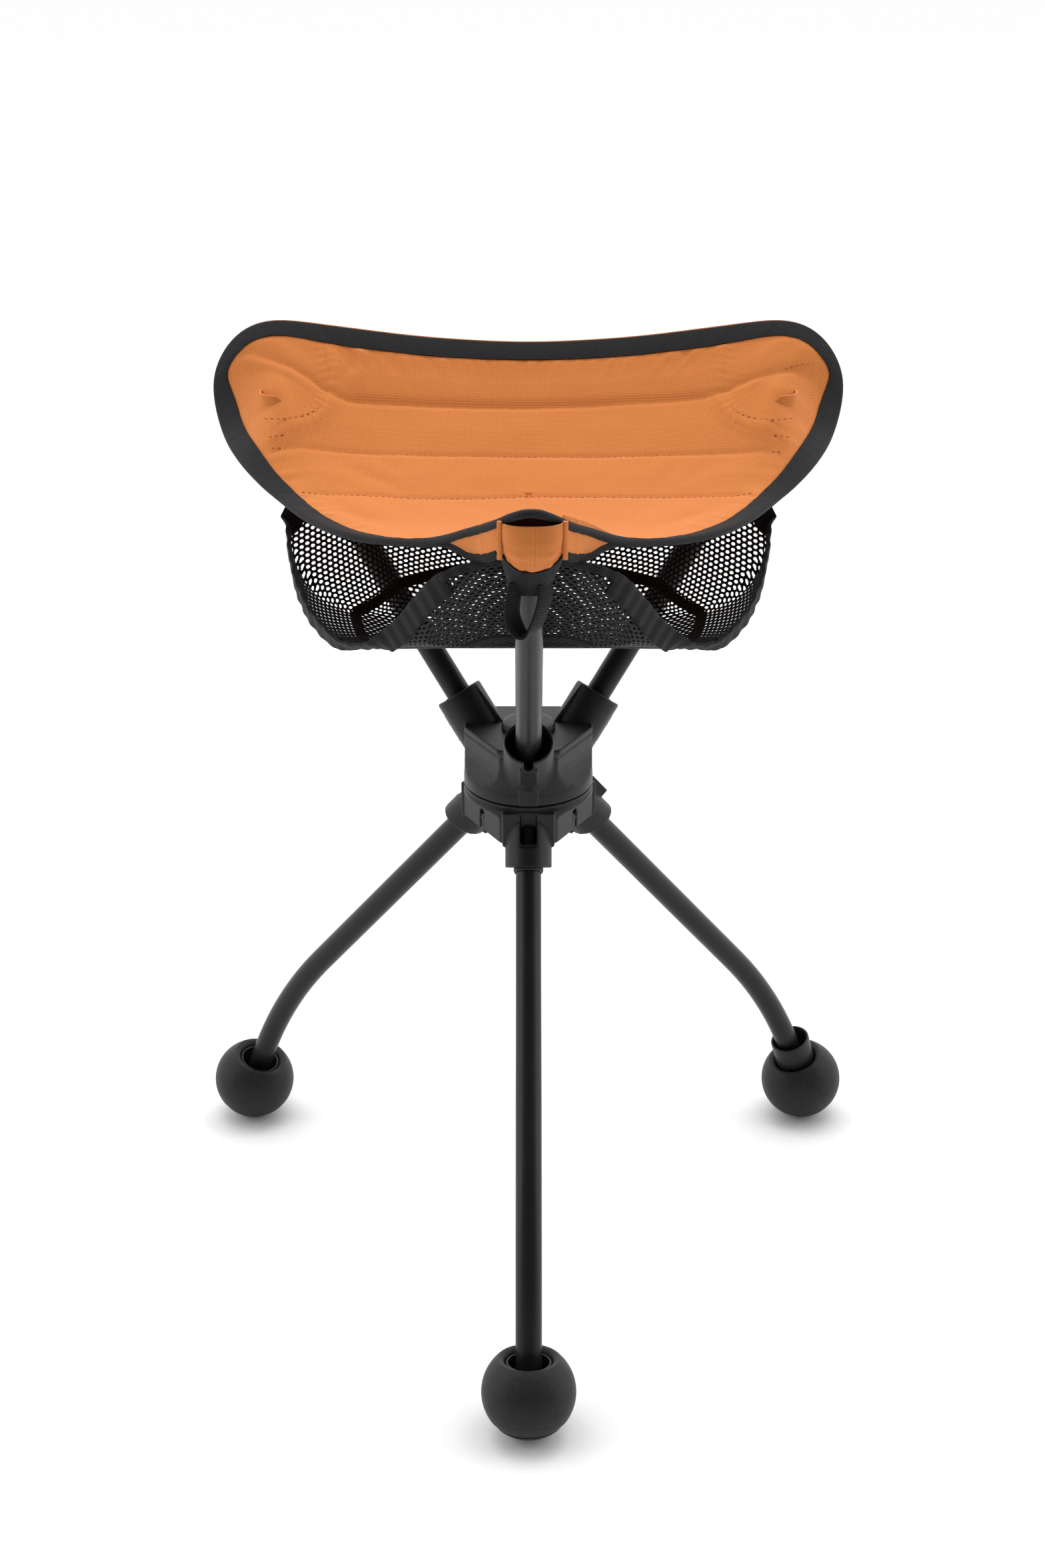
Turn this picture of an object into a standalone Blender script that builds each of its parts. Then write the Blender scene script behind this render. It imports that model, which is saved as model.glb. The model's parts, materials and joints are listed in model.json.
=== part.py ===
"""Three-legged swivel stool with ball feet, a slung fabric seat and a net pouch.

Frame: origin on the floor under the middle of the outline, +Z up, front leg
towards -Y.  The swivel axis stands at (0, AXIS_Y).  Shapes are written in
millimetres about the swivel axis and scaled to metres when a mesh is made.
"""
import bpy
import bmesh
import math
import numpy as np
from mathutils import Matrix, Vector

# ---------------------------------------------------------------- dimensions, mm
MM = 0.001
AXIS_Y = 58.45                 # swivel axis, behind the middle of the footprint
GAP = 0.3                      # clearance between neighbouring pieces
AZ = {"front": 270.0, "rear_left": 150.0, "rear_right": 30.0}

TUBE_R = 8.0                   # 16 mm steel tube
TUBE_RI = 6.8
CORD_R = 1.7                   # elastic cord in every tube

FOOT_RHO = 233.8               # ball centres on this circle
BALL_R = 28.8
BALL_Z = 28.3                  # a shade under the radius: each sole has a small flat
LEG_Z0, LEG_SLOPE = 343.8, 1.17      # straight part of a leg: z = LEG_Z0 - LEG_SLOPE * rho
LEG_TOP_RHO = 27.0
LEG_BEND_RHO = 168.2
LEG_BEND_R = 320.0
LEG_END_ANGLE = 22.0           # degrees from vertical at the foot

ARM_Z0, ARM_SLOPE = 308.4, 1.312     # arm: z = ARM_Z0 + ARM_SLOPE * rho
ARM_START_RHO = 22.3
ARM_END_RHO = 176.0
SLEEVE_RHO = 52.0
SLEEVE_R = 15.5
SOCKET_RHO = 47.7
SOCKET_R = 14.7

SEAM_Z = 327.0                 # parting plane between the fixed and the turning hub
HUB_R = 41.2
HUB_FLAT = 34.2
TOP_Z = 363.5

COLLAR_R = 14.0
COLLAR_LEN = 20.0
COLLAR_TOP = 19.3              # height of a seated collar's mouth over the ball centre
COLLAR_RAISE = 20.0
FOOT_TILT = {"front": -9.0, "rear_left": -4.0, "rear_right": -4.0}   # ball axis against leg axis

SEAT_T = 3.6
BIND_W, BIND_T = 8.5, 5.0
NET_T = 1.6
DETAIL = 0.7                   # share of the nominal facets kept on turned pieces

# ---------------------------------------------------------------- scene and helpers
for ob in list(bpy.data.objects):
    bpy.data.objects.remove(ob, do_unlink=True)
for me in list(bpy.data.meshes):
    bpy.data.meshes.remove(me)


def material(name, rgb, rough, metal=0.0):
    m = bpy.data.materials.new(name)
    m.use_nodes = True
    b = m.node_tree.nodes["Principled BSDF"]
    b.inputs["Base Color"].default_value = (*rgb, 1.0)
    b.inputs["Roughness"].default_value = rough
    b.inputs["Metallic"].default_value = metal
    m.diffuse_color = (*rgb, 1.0)
    return m


BLACK = material("black_nylon", (0.012, 0.012, 0.013), 0.45)
TUBE = material("black_powder_coat", (0.020, 0.020, 0.021), 0.38, 0.2)
RUBBER = material("black_rubber", (0.012, 0.012, 0.012), 0.6)
STEEL = material("zinc_steel", (0.55, 0.55, 0.56), 0.35, 1.0)
SLIP = material("white_acetal", (0.75, 0.75, 0.74), 0.4)
ORANGE = material("orange_fabric", (0.93, 0.26, 0.035), 0.8)
TAPE = material("black_tape", (0.02, 0.02, 0.022), 0.8)
NET = material("black_net", (0.015, 0.015, 0.016), 0.7)
ELASTIC = material("black_elastic", (0.02, 0.02, 0.02), 0.8)


def unit(v):
    v = np.asarray(v, float)
    return v / np.linalg.norm(v)


def bm_from(verts, faces):
    bm = bmesh.new()
    vs = [bm.verts.new(Vector(tuple(float(c) for c in v))) for v in verts]
    for f in faces:
        bm.faces.new([vs[i] for i in f])
    bmesh.ops.recalc_face_normals(bm, faces=bm.faces)
    return bm


def temp(verts, faces, name="tmp"):
    """A throw-away object in millimetres for booleans."""
    bm = bm_from(verts, faces)
    me = bpy.data.meshes.new(name)
    bm.to_mesh(me)
    bm.free()
    ob = bpy.data.objects.new(name, me)
    bpy.context.collection.objects.link(ob)
    return ob


def boolean(base, tools, op):
    """Applies one exact boolean per tool and removes the tools."""
    for t in tools:
        m = base.modifiers.new("b", "BOOLEAN")
        m.operation = op
        m.solver = "EXACT"
        m.object = t
        dg = bpy.context.evaluated_depsgraph_get()
        me = bpy.data.meshes.new_from_object(base.evaluated_get(dg))
        base.modifiers.clear()
        old = base.data
        base.data = me
        bpy.data.meshes.remove(old)
        bpy.data.objects.remove(t, do_unlink=True)
    return base


def empty(name, at, az=0.0, parent=None):
    e = bpy.data.objects.new(name, None)
    e.empty_display_size = 0.02
    bpy.context.collection.objects.link(e)
    world = Matrix.Translation(Vector(at) * MM) @ Matrix.Rotation(math.radians(az), 4, "Z")
    if parent is not None:
        e.parent = parent
        bpy.context.view_layer.update()
        e.matrix_parent_inverse = parent.matrix_world.inverted()
    e.matrix_world = world
    bpy.context.view_layer.update()
    return e


def piece(name, src, mat, parent, az=0.0, smooth=True):
    """Makes one node.  src holds millimetres about the swivel axis for azimuth 0."""
    if isinstance(src, bpy.types.Object):
        me = src.data.copy()
        bpy.data.objects.remove(src, do_unlink=True)
    else:
        bm = bm_from(*src)
        me = bpy.data.meshes.new(name)
        bm.to_mesh(me)
        bm.free()
    place = Matrix.Translation((0, AXIS_Y * MM, 0)) @ Matrix.Rotation(math.radians(az), 4, "Z") @ Matrix.Scale(MM, 4)
    local = parent.matrix_world.inverted() @ place
    me.transform(local)
    bm = bmesh.new()
    bm.from_mesh(me)
    bmesh.ops.remove_doubles(bm, verts=bm.verts, dist=2e-6)
    bmesh.ops.dissolve_degenerate(bm, dist=1e-6, edges=bm.edges)
    bmesh.ops.recalc_face_normals(bm, faces=bm.faces)
    bm.to_mesh(me)
    bm.free()
    me.materials.clear()
    me.materials.append(mat)
    me.name = name
    if smooth:
        me.shade_smooth()
        me.set_sharp_from_angle(angle=math.radians(35))
    ob = bpy.data.objects.new(name, me)
    bpy.context.collection.objects.link(ob)
    ob.parent = parent
    return ob


def axis_frame(origin, direction):
    """Rows of a frame whose third axis runs along direction, in the plane y = 0."""
    w = unit(direction)
    v = np.array([0.0, 1.0, 0.0])
    u = np.cross(v, w)
    return np.asarray(origin, float), u, v, w


def revolve(profile, n, frame=None, closed=False):
    """Turned solid.  profile: (radius, height) from one axis point to the other,
    or a closed outline clear of the axis when closed is true."""
    n = max(8, int(round(n * DETAIL)))
    if frame is None:
        frame = (np.zeros(3), np.array([1.0, 0, 0]), np.array([0, 1.0, 0]), np.array([0, 0, 1.0]))
    o, u, v, w = frame
    verts, rows = [], []
    for r, h in profile:
        if r < 1e-6:
            rows.append([len(verts)])
            verts.append(o + w * h)
        else:
            rows.append(list(range(len(verts), len(verts) + n)))
            for k in range(n):
                a = 2 * math.pi * (k + 0.5) / n
                verts.append(o + u * (r * math.cos(a)) + v * (r * math.sin(a)) + w * h)
    faces = []
    count = len(rows)
    last = count if closed else count - 1
    for i in range(last):
        a, b = rows[i], rows[(i + 1) % count]
        for k in range(n):
            k2 = (k + 1) % n
            if len(a) == 1 and len(b) == 1:
                continue
            if len(a) == 1:
                faces.append((a[0], b[k], b[k2]))
            elif len(b) == 1:
                faces.append((a[k], b[0], a[k2]))
            else:
                faces.append((a[k], b[k], b[k2], a[k2]))
    return verts, faces


def rod(r, h0, h1, n, frame):
    return revolve([(0, h0), (r, h0), (r, h1), (0, h1)], n, frame)


def ring(ri, ro, h0, h1, n, frame=None):
    return revolve([(ri, h0), (ro, h0), (ro, h1), (ri, h1)], n, frame, closed=True)


def tube_along(path, ro, ri, n):
    """Hollow tube along points in the plane y = 0."""
    verts, faces = [], []
    m = len(path)
    for i, p in enumerate(path):
        a = path[max(i - 1, 0)]
        b = path[min(i + 1, m - 1)]
        d = unit(np.array(b) - np.array(a))
        side = np.array([d[2], 0.0, -d[0]])
        for r in (ro, ri):
            for k in range(n):
                t = 2 * math.pi * k / n
                verts.append(np.array(p) + side * (r * math.cos(t)) + np.array([0, 1.0, 0]) * (r * math.sin(t)))
    step = 2 * n
    for i in range(m - 1):
        for k in range(n):
            k2 = (k + 1) % n
            a, b = i * step, (i + 1) * step
            faces.append((a + k, a + k2, b + k2, b + k))
            faces.append((a + n + k, b + n + k, b + n + k2, a + n + k2))
    for base in (0, (m - 1) * step):
        for k in range(n):
            k2 = (k + 1) % n
            faces.append((base + k, base + n + k, base + n + k2, base + k2))
    return verts, faces


def box(x0, x1, y0, y1, z0, z1):
    v = [(x, y, z) for x in (x0, x1) for y in (y0, y1) for z in (z0, z1)]
    f = [(0, 1, 3, 2), (4, 6, 7, 5), (0, 4, 5, 1), (2, 3, 7, 6), (0, 2, 6, 4), (1, 5, 7, 3)]
    return v, f


def turned(src, az):
    """Turns a (verts, faces) pair about the swivel axis."""
    a = math.radians(az)
    c, s = math.cos(a), math.sin(a)
    return [(x * c - y * s, x * s + y * c, z) for x, y, z in src[0]], src[1]


def prism(points, h, frame):
    """Extruded outline (u, v) of height h[0]..h[1] along the frame's third axis."""
    o, u, v, w = frame
    n = len(points)
    verts = [o + u * p[0] + v * p[1] + w * h[0] for p in points]
    verts += [o + u * p[0] + v * p[1] + w * h[1] for p in points]
    faces = [tuple(range(n)), tuple(range(2 * n - 1, n - 1, -1))]
    for k in range(n):
        k2 = (k + 1) % n
        faces.append((k, n + k, n + k2, k2))
    return verts, faces


def thick(points, faces, t, up=None):
    """Closed shell of thickness t about an open surface.  points: N x 3."""
    p = np.asarray(points, float)
    nrm = np.zeros_like(p)
    for f in faces:
        a, b, c = p[f[0]], p[f[1]], p[f[2]]
        nn = np.cross(b - a, c - a)
        if len(f) == 4:
            nn = nn + np.cross(c - a, p[f[3]] - a)
        for i in f:
            nrm[i] += nn
    nrm /= np.maximum(np.linalg.norm(nrm, axis=1), 1e-9)[:, None]
    n = len(p)
    verts = list(p + nrm * t / 2) + list(p - nrm * t / 2)
    out = [tuple(f) for f in faces] + [tuple(n + i for i in reversed(f)) for f in faces]
    count = {}
    for f in faces:
        for i in range(len(f)):
            a, b = f[i], f[(i + 1) % len(f)]
            count.setdefault((min(a, b), max(a, b)), []).append((a, b))
    for e, uses in count.items():
        if len(uses) == 1:
            a, b = uses[0]
            out.append((b, a, n + a, n + b))
    return verts, out


# ---------------------------------------------------------------- axes
axis = (0.0, AXIS_Y, 0.0)
ROOT = empty("stool", axis)
SWIVEL = empty("axis_swivel", (0, AXIS_Y, SEAM_Z), parent=ROOT)
SEAT = empty("seat_mount", (0, AXIS_Y, 500.0), parent=SWIVEL)


def polar(rho, z, az):
    a = math.radians(az)
    return (rho * math.cos(a), AXIS_Y + rho * math.sin(a), z)


def arm_z(rho):
    return ARM_Z0 + ARM_SLOPE * rho


def leg_z(rho):
    return LEG_Z0 - LEG_SLOPE * rho


ARM_DIR = unit((1.0, 0.0, ARM_SLOPE))
LEG_DIR = unit((1.0, 0.0, -LEG_SLOPE))
FOOT_DIR = np.array([-math.sin(math.radians(LEG_END_ANGLE)), 0.0, math.cos(math.radians(LEG_END_ANGLE))])
FOOT_C = np.array([FOOT_RHO, 0.0, BALL_Z])
ARM_MOUTH = np.array([SLEEVE_RHO, 0.0, arm_z(SLEEVE_RHO)])
LEG_MOUTH = np.array([SOCKET_RHO, 0.0, leg_z(SOCKET_RHO)])
ARM_FRAME = axis_frame(ARM_MOUTH, ARM_DIR)
LEG_FRAME = axis_frame(LEG_MOUTH, LEG_DIR)


def hub_section(flat, radius, n=36):
    """Round section with three flats, at azimuths 90, 210 and 330 degrees."""
    pts = []
    for k in range(n):
        t = 360.0 * k / n
        d = (t - 90.0 + 60.0) % 120.0 - 60.0
        pts.append((min(radius, flat / math.cos(math.radians(d))), math.radians(t)))
    return [(r * math.cos(t), r * math.sin(t)) for r, t in pts]


def loft(levels, n=36):
    verts, faces = [], []
    for z, flat, radius in levels:
        verts += [(x, y, z) for x, y in hub_section(flat, radius, n)]
    m = len(levels)
    for i in range(m - 1):
        for k in range(n):
            k2 = (k + 1) % n
            faces.append((i * n + k, i * n + k2, (i + 1) * n + k2, (i + 1) * n + k))
    faces.append(tuple(range(n - 1, -1, -1)))
    faces.append(tuple((m - 1) * n + k for k in range(n)))
    return verts, faces


# ---------------------------------------------------------------- lower hub and its fastening
lower = temp(*loft([
    (300.0, HUB_FLAT, HUB_R), (316.5, HUB_FLAT, HUB_R), (319.0, 37.5, HUB_R), (320.5, 45.0, HUB_R),
    (323.4, 45.0, HUB_R), (323.7, 45.0, HUB_R - 0.8), (324.5, 45.0, HUB_R - 0.8), (324.8, 45.0, HUB_R),
    (SEAM_Z - GAP, 45.0, HUB_R)]))
adds, cuts = [], []
leg_in = (SOCKET_RHO - LEG_TOP_RHO) / LEG_DIR[0]
for az in AZ.values():
    adds.append(temp(*turned(rod(SOCKET_R, -leg_in, 0.0, 24, LEG_FRAME), az)))
    cuts.append(temp(*turned(rod(TUBE_R + GAP, -leg_in - 0.8, 6.0, 20, LEG_FRAME), az)))
for az in (90.0, 210.0, 330.0):
    cuts.append(temp(*turned(box(28.8, 37.0, -2.6, 2.6, 296.0, 313.5), az)))
cuts.append(temp(*rod(12.0, 290.0, 310.1, 24, None)))
cuts.append(temp(*rod(4.3, 300.0, 340.0, 16, None)))
cuts.append(temp(*rod(30.3, 325.6, 340.0, 32, None)))
boolean(lower, adds, "UNION")
boolean(lower, cuts, "DIFFERENCE")
piece("lower_hub", lower, BLACK, ROOT)

cover = temp(*revolve([(0, 297.0), (16.8, 297.0), (17.6, 297.8), (17.6, 299.7), (11.7, 299.7), (11.7, 305.0),
                       (9.4, 305.0), (9.4, 299.0), (0, 299.0)], 24))
hooks = []
for az in (90.0, 210.0, 330.0):
    hooks.append(temp(*turned(box(15.0, 33.4, -2.1, 2.1, 297.2, 299.5), az)))
    hooks.append(temp(*turned(box(31.2, 33.6, -1.8, 1.8, 297.9, 310.5), az)))
boolean(cover, hooks, "UNION")
piece("hub_bottom_cover", cover, BLACK, ROOT)


def hexagon(r):
    return [(r * math.cos(math.pi / 3 * k), r * math.sin(math.pi / 3 * k)) for k in range(6)]


Z_FRAME = (np.zeros(3), np.array([1.0, 0, 0]), np.array([0, 1.0, 0]), np.array([0, 0, 1.0]))
bolt = temp(*rod(4.0, 300.6, 356.0, 16, Z_FRAME))
boolean(bolt, [temp(*prism(hexagon(7.5), (354.2, 359.7), Z_FRAME))], "UNION")
piece("swivel_bolt", bolt, STEEL, SWIVEL)
nut = temp(*prism(hexagon(7.5), (301.4, 307.7), Z_FRAME))
boolean(nut, [temp(*rod(4.3, 290.0, 320.0, 16, Z_FRAME))], "DIFFERENCE")
piece("swivel_nut", nut, STEEL, ROOT)
piece("nut_washer", ring(4.4, 9.5, 308.0, 309.7, 20), STEEL, ROOT)
piece("bolt_washer", ring(4.4, 9.2, 352.3, 353.9, 20), STEEL, SWIVEL)
piece("thrust_washer", ring(5.0, 30.0, 325.9, 328.1, 32), SLIP, ROOT)

# ---------------------------------------------------------------- upper hub
upper = temp(*loft([
    (SEAM_Z + GAP, 45.0, HUB_R), (333.5, 45.0, HUB_R), (336.0, 39.6, HUB_R), (339.5, 36.4, HUB_R),
    (345.0, 34.4, HUB_R), (354.0, 34.0, HUB_R), (362.6, 34.8, HUB_R), (TOP_Z, 34.0, HUB_R - 0.9)]))
adds, cuts = [], []
arm_in = (SLEEVE_RHO - 26.0) / ARM_DIR[0]
arm_bore = (SLEEVE_RHO - ARM_START_RHO) / ARM_DIR[0] + 0.6
for az in AZ.values():
    adds.append(temp(*turned(revolve([(0, -arm_in), (SLEEVE_R, -arm_in), (SLEEVE_R, -1.5), (SLEEVE_R - 1.0, 0.0), (0, 0.0)],
                                     24, ARM_FRAME), az)))
    cuts.append(temp(*turned(rod(TUBE_R + GAP, -arm_bore, 5.0, 20, ARM_FRAME), az)))
    cuts.append(temp(*turned(rod(13.3, -13.0, 5.0, 24, ARM_FRAME), az)))
    cuts.append(temp(*turned(prism([(8.0, -2.85), (20.0, -2.85), (20.0, 2.85), (8.0, 2.85)], (-7.0, 5.0), ARM_FRAME), az)))
cuts.append(temp(*rod(6.8, 320.0, 370.0, 20, None)))
cuts.append(temp(*rod(11.0, 352.0, 370.0, 24, None)))
cuts.append(temp(*rod(30.3, 320.0, 328.4, 32, None)))
boolean(upper, adds, "UNION")
boolean(upper, cuts, "DIFFERENCE")
piece("upper_hub", upper, BLACK, SWIVEL)
piece("swivel_bushing", ring(4.3, 6.5, 328.6, 351.7, 20), SLIP, SWIVEL)
piece("swivel_cap", revolve([(0, 368.2), (14.8, 367.9), (16.8, 366.6), (17.2, 363.8), (10.7, 363.8), (10.7, 360.3),
                             (9.4, 360.3), (9.4, 365.2), (0, 365.2)], 28), BLACK, SWIVEL)

# ---------------------------------------------------------------- arms
ARM_LEN0 = (ARM_START_RHO - SLEEVE_RHO) / ARM_DIR[0]
ARM_LEN1 = (ARM_END_RHO - SLEEVE_RHO) / ARM_DIR[0]
dome = [(8.0 * math.cos(a), ARM_LEN1 + 3.5 + 8.0 * math.sin(a)) for a in (0.0, 0.4, 0.8, 1.2)]
for who, az in AZ.items():
    piece("arm_" + who, ring(TUBE_RI, TUBE_R, ARM_LEN0, ARM_LEN1, 16, ARM_FRAME), TUBE, SWIVEL, az)
    piece("arm_tip_cap_" + who,
          revolve([(0, ARM_LEN1 - 12.0), (TUBE_RI - GAP, ARM_LEN1 - 12.0), (TUBE_RI - GAP, ARM_LEN1 + GAP), (TUBE_R, ARM_LEN1 + GAP)]
                  + dome + [(0, ARM_LEN1 + 11.5)], 16, ARM_FRAME), BLACK, SWIVEL, az)
    piece("arm_cord_" + who,
          revolve([(0, ARM_LEN0), (CORD_R, ARM_LEN0), (CORD_R, 110.0), (3.6, 112.0), (4.0, 115.0), (3.6, 118.0), (0, 120.0)],
                  8, ARM_FRAME), ELASTIC, SWIVEL, az)

# ---------------------------------------------------------------- legs and feet
a1 = math.atan2(1.0, LEG_SLOPE)
a2 = math.radians(LEG_END_ANGLE)
leg_path = [np.array([LEG_TOP_RHO, 0, leg_z(LEG_TOP_RHO)]), np.array([LEG_BEND_RHO, 0, leg_z(LEG_BEND_RHO)])]
start = leg_path[-1]
for k in range(1, 7):
    a = a1 + (a2 - a1) * k / 6.0
    leg_path.append(start + LEG_BEND_R * np.array([math.cos(a) - math.cos(a1), 0, -(math.sin(a1) - math.sin(a))]))
leg_path.append(FOOT_C + FOOT_DIR * 0.3)
cord0 = (LEG_TOP_RHO - SOCKET_RHO) / LEG_DIR[0]


def sphere_arc(r, p0, p1, n):
    """Points (radius, height) on a sphere between two polar angles, degrees from its top."""
    return [(r * math.sin(math.radians(p0 + (p1 - p0) * i / n)), r * math.cos(math.radians(p0 + (p1 - p0) * i / n)))
            for i in range(n + 1)]


lip = math.degrees(math.asin(19.0 / BALL_R))
ball_profile = ([(0, -8.6)] + [(8.6 * math.sin(a), -8.6 * math.cos(a)) for a in (0.5, 1.0)]
                + [(8.6, -1.8), (14.4, -1.8), (14.4, 18.6), (16.0, 20.6), (17.6, 21.6)]
                + sphere_arc(BALL_R, lip, 134.5, 6) + [(19.6, -20.4), (0, -20.4)])
sole_profile = [(0, -20.7), (18.6, -20.7), (19.3, -21.1)] + sphere_arc(BALL_R, 137.0, 180.0, 4)
sole_profile[-1] = (0, -BALL_R)
collar_profile = [(10.2, 0.0), (13.4, 0.0), (COLLAR_R, 1.0), (COLLAR_R, COLLAR_LEN - 0.8), (13.4, COLLAR_LEN),
                  (12.8, COLLAR_LEN), (12.4, COLLAR_LEN - 1.0), (12.0, 12.0)]

for who, az in AZ.items():
    mount = empty("axis_leg_" + who, polar(SOCKET_RHO, leg_z(SOCKET_RHO), az), az, ROOT)
    piece("leg_" + who, tube_along(leg_path, TUBE_R, TUBE_RI, 10), TUBE, mount, az)
    piece("leg_stop_ring_" + who, ring(TUBE_R + GAP, 9.5, 0.4, 3.6, 20, LEG_FRAME), BLACK, mount, az)
    piece("leg_cord_" + who,
          revolve([(0, cord0), (CORD_R, cord0), (CORD_R, 90.0), (3.6, 92.0), (4.0, 95.0), (3.6, 98.0), (0, 100.0)],
                  8, LEG_FRAME), ELASTIC, ROOT, az)
    stem = axis_frame(FOOT_C, FOOT_DIR)
    piece("foot_stem_" + who,
          revolve([(0, 22.0), (TUBE_RI - 0.7, 22.0), (TUBE_RI - 0.7, 0.0)]
                  + [(8.0 * math.cos(a), -8.0 * math.sin(a)) for a in (0.0, 0.4, 0.8, 1.2)] + [(0, -8.0)], 16, stem),
          BLACK, mount, az)
    foot = empty("axis_foot_" + who, polar(FOOT_RHO, BALL_Z, az), az, mount)
    tilt = math.radians(LEG_END_ANGLE + FOOT_TILT[who])
    foot_axis = np.array([-math.sin(tilt), 0.0, math.cos(tilt)])
    fframe = axis_frame(FOOT_C, foot_axis)
    piece("foot_ball_" + who, revolve(ball_profile, 20, fframe), RUBBER, foot, az)
    sole = temp(*revolve(sole_profile, 20, fframe))
    boolean(sole, [temp(*box(FOOT_RHO - 40, FOOT_RHO + 40, -40, 40, -20.0, 0.0))], "DIFFERENCE")
    piece("foot_sole_" + who, sole, RUBBER, foot, az)
    lift = COLLAR_RAISE if who == "rear_right" else 0.0
    cframe = axis_frame(FOOT_C + foot_axis * (COLLAR_TOP - COLLAR_LEN + lift), foot_axis)
    piece("foot_collar_" + who, revolve(collar_profile, 20, cframe, closed=True), BLACK, foot, az)

# ---------------------------------------------------------------- seat outline and sag
# Left half of the outline from the middle of the back edge to the front tip (x, y, z).
HALF = [(0, 118, 581), (-65, 119, 584), (-121, 122, 590), (-163, 125, 594), (-182, 124, 589), (-196, 119, 575),
        (-204, 117, 553), (-197, 100, 527), (-183, 62, 519), (-165, 28, 513), (-155, 13, 511), (-136, -24, 511),
        (-117, -55, 513), (-97, -78, 516), (-75, -101, 522), (-56, -120, 529), (-42, -142, 540), (-30, -160, 550),
        (-16, -184, 561), (0, -196, 569)]


def catmull(points, per):
    """Smooth closed curve through the points, with equal steps in each span."""
    p = np.asarray(points, float)
    n = len(p)
    out = []
    for i in range(n):
        a, b, c, d = p[(i - 1) % n], p[i], p[(i + 1) % n], p[(i + 2) % n]
        for k in range(per):
            t = k / per
            out.append(0.5 * ((2 * b) + (c - a) * t + (2 * a - 5 * b + 4 * c - d) * t * t + (3 * b - a - 3 * c + d) * t ** 3))
    return np.array(out)


def resample(loop, n):
    """n points at equal distances along a closed curve, from its first point."""
    q = np.vstack([loop, loop[:1]])
    s = np.concatenate([[0], np.cumsum(np.linalg.norm(np.diff(q, axis=0), axis=1))])
    t = np.linspace(0, s[-1], n, endpoint=False)
    return np.stack([np.interp(t, s, q[:, k]) for k in range(3)], 1)


loop = HALF + [(-x, y, z) for x, y, z in reversed(HALF[1:-1])]
N_EDGE = 42
edge = resample(catmull(loop, 6), N_EDGE)
CENTRE = np.array([0.0, 10.0, 0.0])
RING_AT = [0.0, 0.20, 0.40, 0.58, 0.74, 0.86, 0.94, 1.0]     # finer towards the edge
RINGS = len(RING_AT) - 1


def seat_grid():
    """Relaxed sheet hung from the outline, pushed up over the three arm tips."""
    inner = edge.copy()
    d = CENTRE - inner
    d[:, 2] = 0
    inner += d / np.linalg.norm(d, axis=1)[:, None] * BIND_W
    p = np.zeros((RINGS + 1, N_EDGE, 3))
    for j in range(RINGS + 1):
        f = RING_AT[j]
        p[j] = inner * f + np.array([0, 10.0, 0]) * (1 - f)
        p[j, :, 2] = inner[:, 2] * f + 508.0 * (1 - f)
    dirs = [np.array([math.cos(math.radians(a)), math.sin(math.radians(a))]) for a in AZ.values()]
    for _ in range(400):
        z = p[:, :, 2]
        new = z.copy()
        for j in range(1, RINGS):
            new[j] = 0.25 * (z[j - 1] + z[j + 1] + np.roll(z[j], 1) + np.roll(z[j], -1)) - 0.55
        new[0] = z[1].mean() - 0.5
        for j in range(1, RINGS):
            for t in dirs:
                along = p[j, :, 0] * t[0] + p[j, :, 1] * t[1]
                side = np.abs(p[j, :, 1] * t[0] - p[j, :, 0] * t[1])
                over = np.minimum(arm_z(along) + TUBE_R / ARM_DIR[0] + 12.5, 565.0) - 0.05 * np.maximum(side - 12.0, 0.0) ** 2
                new[j] = np.where((along > 105.0) & (side < 40.0), np.maximum(new[j], over), new[j])
        p[:, :, 2] = new
        p[RINGS, :, 2] = inner[:, 2]
    return p


grid = seat_grid()
pts = [grid[0, 0]]
for j in range(1, RINGS + 1):
    pts += list(grid[j])
faces = []
for k in range(N_EDGE):
    k2 = (k + 1) % N_EDGE
    faces.append((0, 1 + k, 1 + k2))
    for j in range(1, RINGS):
        a, b = 1 + (j - 1) * N_EDGE, 1 + j * N_EDGE
        faces.append((a + k, b + k, b + k2, a + k2))
piece("seat_panel", thick(pts, faces, SEAT_T), ORANGE, SEAT)

# binding tape folded round the edge
rim_in = grid[RINGS]
verts, faces = [], []
for k in range(N_EDGE):
    a = rim_in[k]
    b = edge[k]
    out = b - a
    out[2] = 0
    out = unit(out)
    along = unit(edge[(k + 1) % N_EDGE] - edge[k - 1])
    up = unit(np.cross(out, along))
    up = up if up[2] > 0 else -up
    first = a + out * 4.2
    last = b
    for base in (first, last):
        verts.append(base + up * BIND_T / 2)
        verts.append(base - up * BIND_T / 2)
for k in range(N_EDGE):
    a, b = 4 * k, 4 * ((k + 1) % N_EDGE)
    faces += [(a, b, b + 2, a + 2), (a + 2, b + 2, b + 3, a + 3), (a + 3, b + 3, b + 1, a + 1), (a + 1, b + 1, b, a)]
piece("seat_binding", (verts, faces), TAPE, SEAT)

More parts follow.
